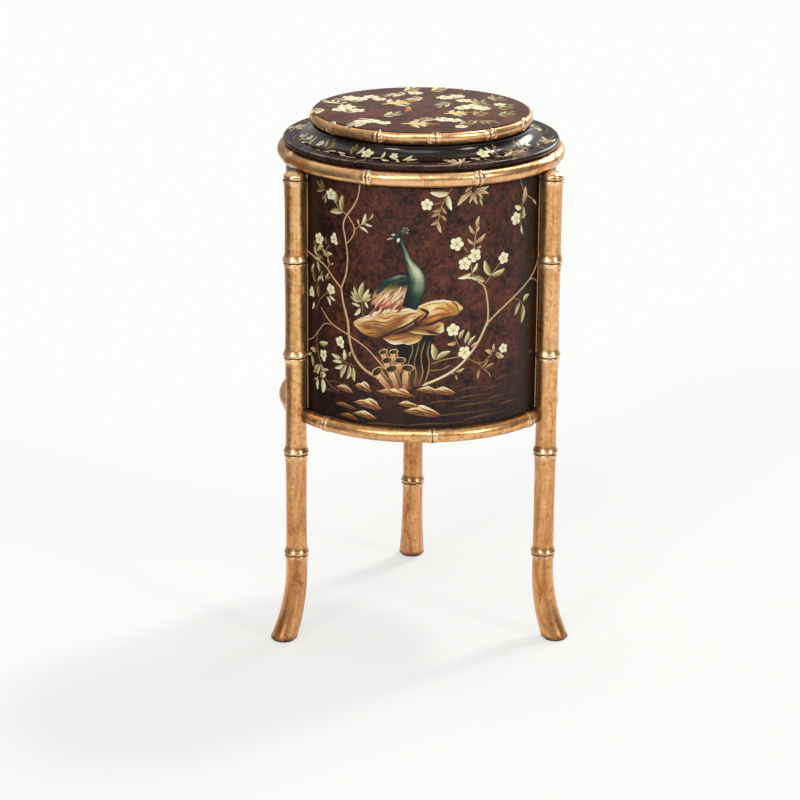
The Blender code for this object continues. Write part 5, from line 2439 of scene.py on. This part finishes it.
@dataclass
class Studio:
    """White floor, soft lamps, a pale room and the camera."""

    lens: float = 125.26
    sensor: float = 36.0
    eye: tuple[float, float, float] = (-0.1257, -3.2244, 1.3227)
    yaw: float = 1.829
    pitch: float = 18.017
    roll: float = 0.441
    floor_corners: tuple[Point2, ...] = ((-0.62, -1.0), (2.4, -1.0), (3.0, 6.5), (-1.7, 6.5))
    floor_white: Colour = (0.965, 0.965, 0.950)
    floor_matte: Colour = (0.756, 0.756, 0.744)
    floor_shade: float = 0.36
    lamp_distance: float = 3.0
    lamps: tuple[Lamp, ...] = (
        Lamp("back_right", 131.0, 54.0, 1.15, 8.0),
        Lamp("front_left", -33.0, 28.0, 0.75, 14.0),
        Lamp("front_soft", -5.0, 50.0, 0.55, 34.0),
        Lamp("front_right", 50.0, 28.0, 0.75, 14.0),
        Lamp("right_rim", 140.0, 22.0, 1.30, 28.0),
    )

    def build(self) -> None:
        """Sets up the view, the camera, the floor, the room and the lamps."""
        bpy.context.scene.view_settings.view_transform = "Standard"
        self.build_camera()
        self.build_floor()
        self.build_room()
        for lamp in self.lamps:
            self.build_lamp(lamp)

    def build_camera(self) -> None:
        """Places the camera where the photograph was taken from."""
        data = bpy.data.cameras.new("view")
        data.sensor_width = self.sensor
        data.lens = self.lens
        data.clip_end = 100.0
        camera = bpy.data.objects.new("view", data)
        yaw, pitch, roll = (math.radians(a) for a in (self.yaw, self.pitch, self.roll))
        ahead = Vector((math.sin(yaw) * math.cos(pitch), math.cos(yaw) * math.cos(pitch), -math.sin(pitch)))
        right = Vector((math.cos(yaw), -math.sin(yaw), 0))
        above = right.cross(ahead)
        across = right * math.cos(roll) + above * math.sin(roll)
        upward = above * math.cos(roll) - right * math.sin(roll)
        turn = Matrix((across, upward, -ahead)).transposed().to_4x4()
        camera.matrix_world = Matrix.Translation(AXIS + Vector(self.eye)) @ turn
        bpy.context.scene.collection.objects.link(camera)
        bpy.context.scene.camera = camera

    def build_floor(self) -> None:
        """Lays a white floor that keeps the table's shadow."""
        bm = bmesh.new()
        bmesh.ops.contextual_create(bm, geom=[bm.verts.new((*corner, 0)) for corner in self.floor_corners])
        mesh = bpy.data.meshes.new("floor")
        bm.to_mesh(mesh)
        bm.free()
        floor = bpy.data.objects.new("floor", mesh)
        bpy.context.scene.collection.objects.link(floor)
        recipe = Recipe(bpy.data.materials.new("white_floor"))
        path = "ShaderNodeLightPath"
        seen = recipe.node(path, output="Is Camera Ray").at_least(recipe.node(path, output="Is Glossy Ray"))
        seen = seen.at_least(recipe.node(path, output="Is Transmission Ray"))
        matte = recipe.node("ShaderNodeBsdfDiffuse", None, {"Color": (*self.floor_matte, 1.0)})
        glow = recipe.node("ShaderNodeEmission", None, {"Color": (*self.floor_white, 1.0), "Strength": 1.0})
        share = seen * (1.0 - self.floor_shade)
        mixed = recipe.node("ShaderNodeMixShader", None, {0: share, 1: matte, 2: glow})
        recipe.node("ShaderNodeOutputMaterial", None, {"Surface": mixed})
        mesh.materials.append(recipe.owner)

    def build_room(self) -> None:
        """Lights the room: white behind the table, above it and low in front, and dim at the sides."""
        recipe = Recipe(bpy.data.worlds.new("studio"))
        bpy.context.scene.world = recipe.owner
        place = recipe.node("ShaderNodeTexCoord", output="Generated")
        side, depth, height = recipe.axes(place)
        front, back = depth.eased(-0.35, -0.80), depth.eased(-0.1, 0.6)
        left, right = side.eased(-0.2, -0.8), side.eased(0.2, 0.8)
        above, below = height.eased(0.45, 0.9), height.eased(0.05, -0.12)
        level = 0.08 + back * (height.eased(0.22, 0.60) * 0.22 + 0.26) + above * 0.45
        level = level + front * (below * 0.72 + 0.16)
        level = level + left * height.eased(0.05, 0.35) * 0.20 + right * below * 0.5
        seen = recipe.node("ShaderNodeLightPath", output="Is Camera Ray")
        strength = seen + level * (1.0 - seen)
        glow = recipe.node(
            "ShaderNodeBackground", None, {"Color": (*self.floor_white, 1.0), "Strength": strength}
        )
        recipe.node("ShaderNodeOutputWorld", None, {"Surface": glow})

    def build_lamp(self, lamp: Lamp) -> None:
        """Hangs one lamp, aimed at the table.

        Args:
            lamp: The lamp.
        """
        data = bpy.data.lights.new(lamp.name, "SUN")
        data.energy = lamp.strength
        data.angle = math.radians(lamp.spread)
        light = bpy.data.objects.new(lamp.name, data)
        rise = math.radians(lamp.elevation)
        toward = outward(lamp.azimuth) * math.cos(rise) + UP * math.sin(rise)
        turn = toward.to_track_quat("Z", "Y").to_matrix().to_4x4()
        light.matrix_world = Matrix.Translation(AXIS + toward * self.lamp_distance) @ turn
        bpy.context.scene.collection.objects.link(light)


def main() -> None:
    """Builds the table piece by piece and sets up the studio."""
    logging.basicConfig(level=logging.INFO, format="%(name)s: %(message)s")
    palette = Palette()
    Studio().build()
    Drum(palette).build()
    Lid(palette).build()
    Legs(palette).build()
    GiltHoops(palette).build()
    Screws(palette).build()
    Decoration().build()


if __name__ == "__main__":
    main()
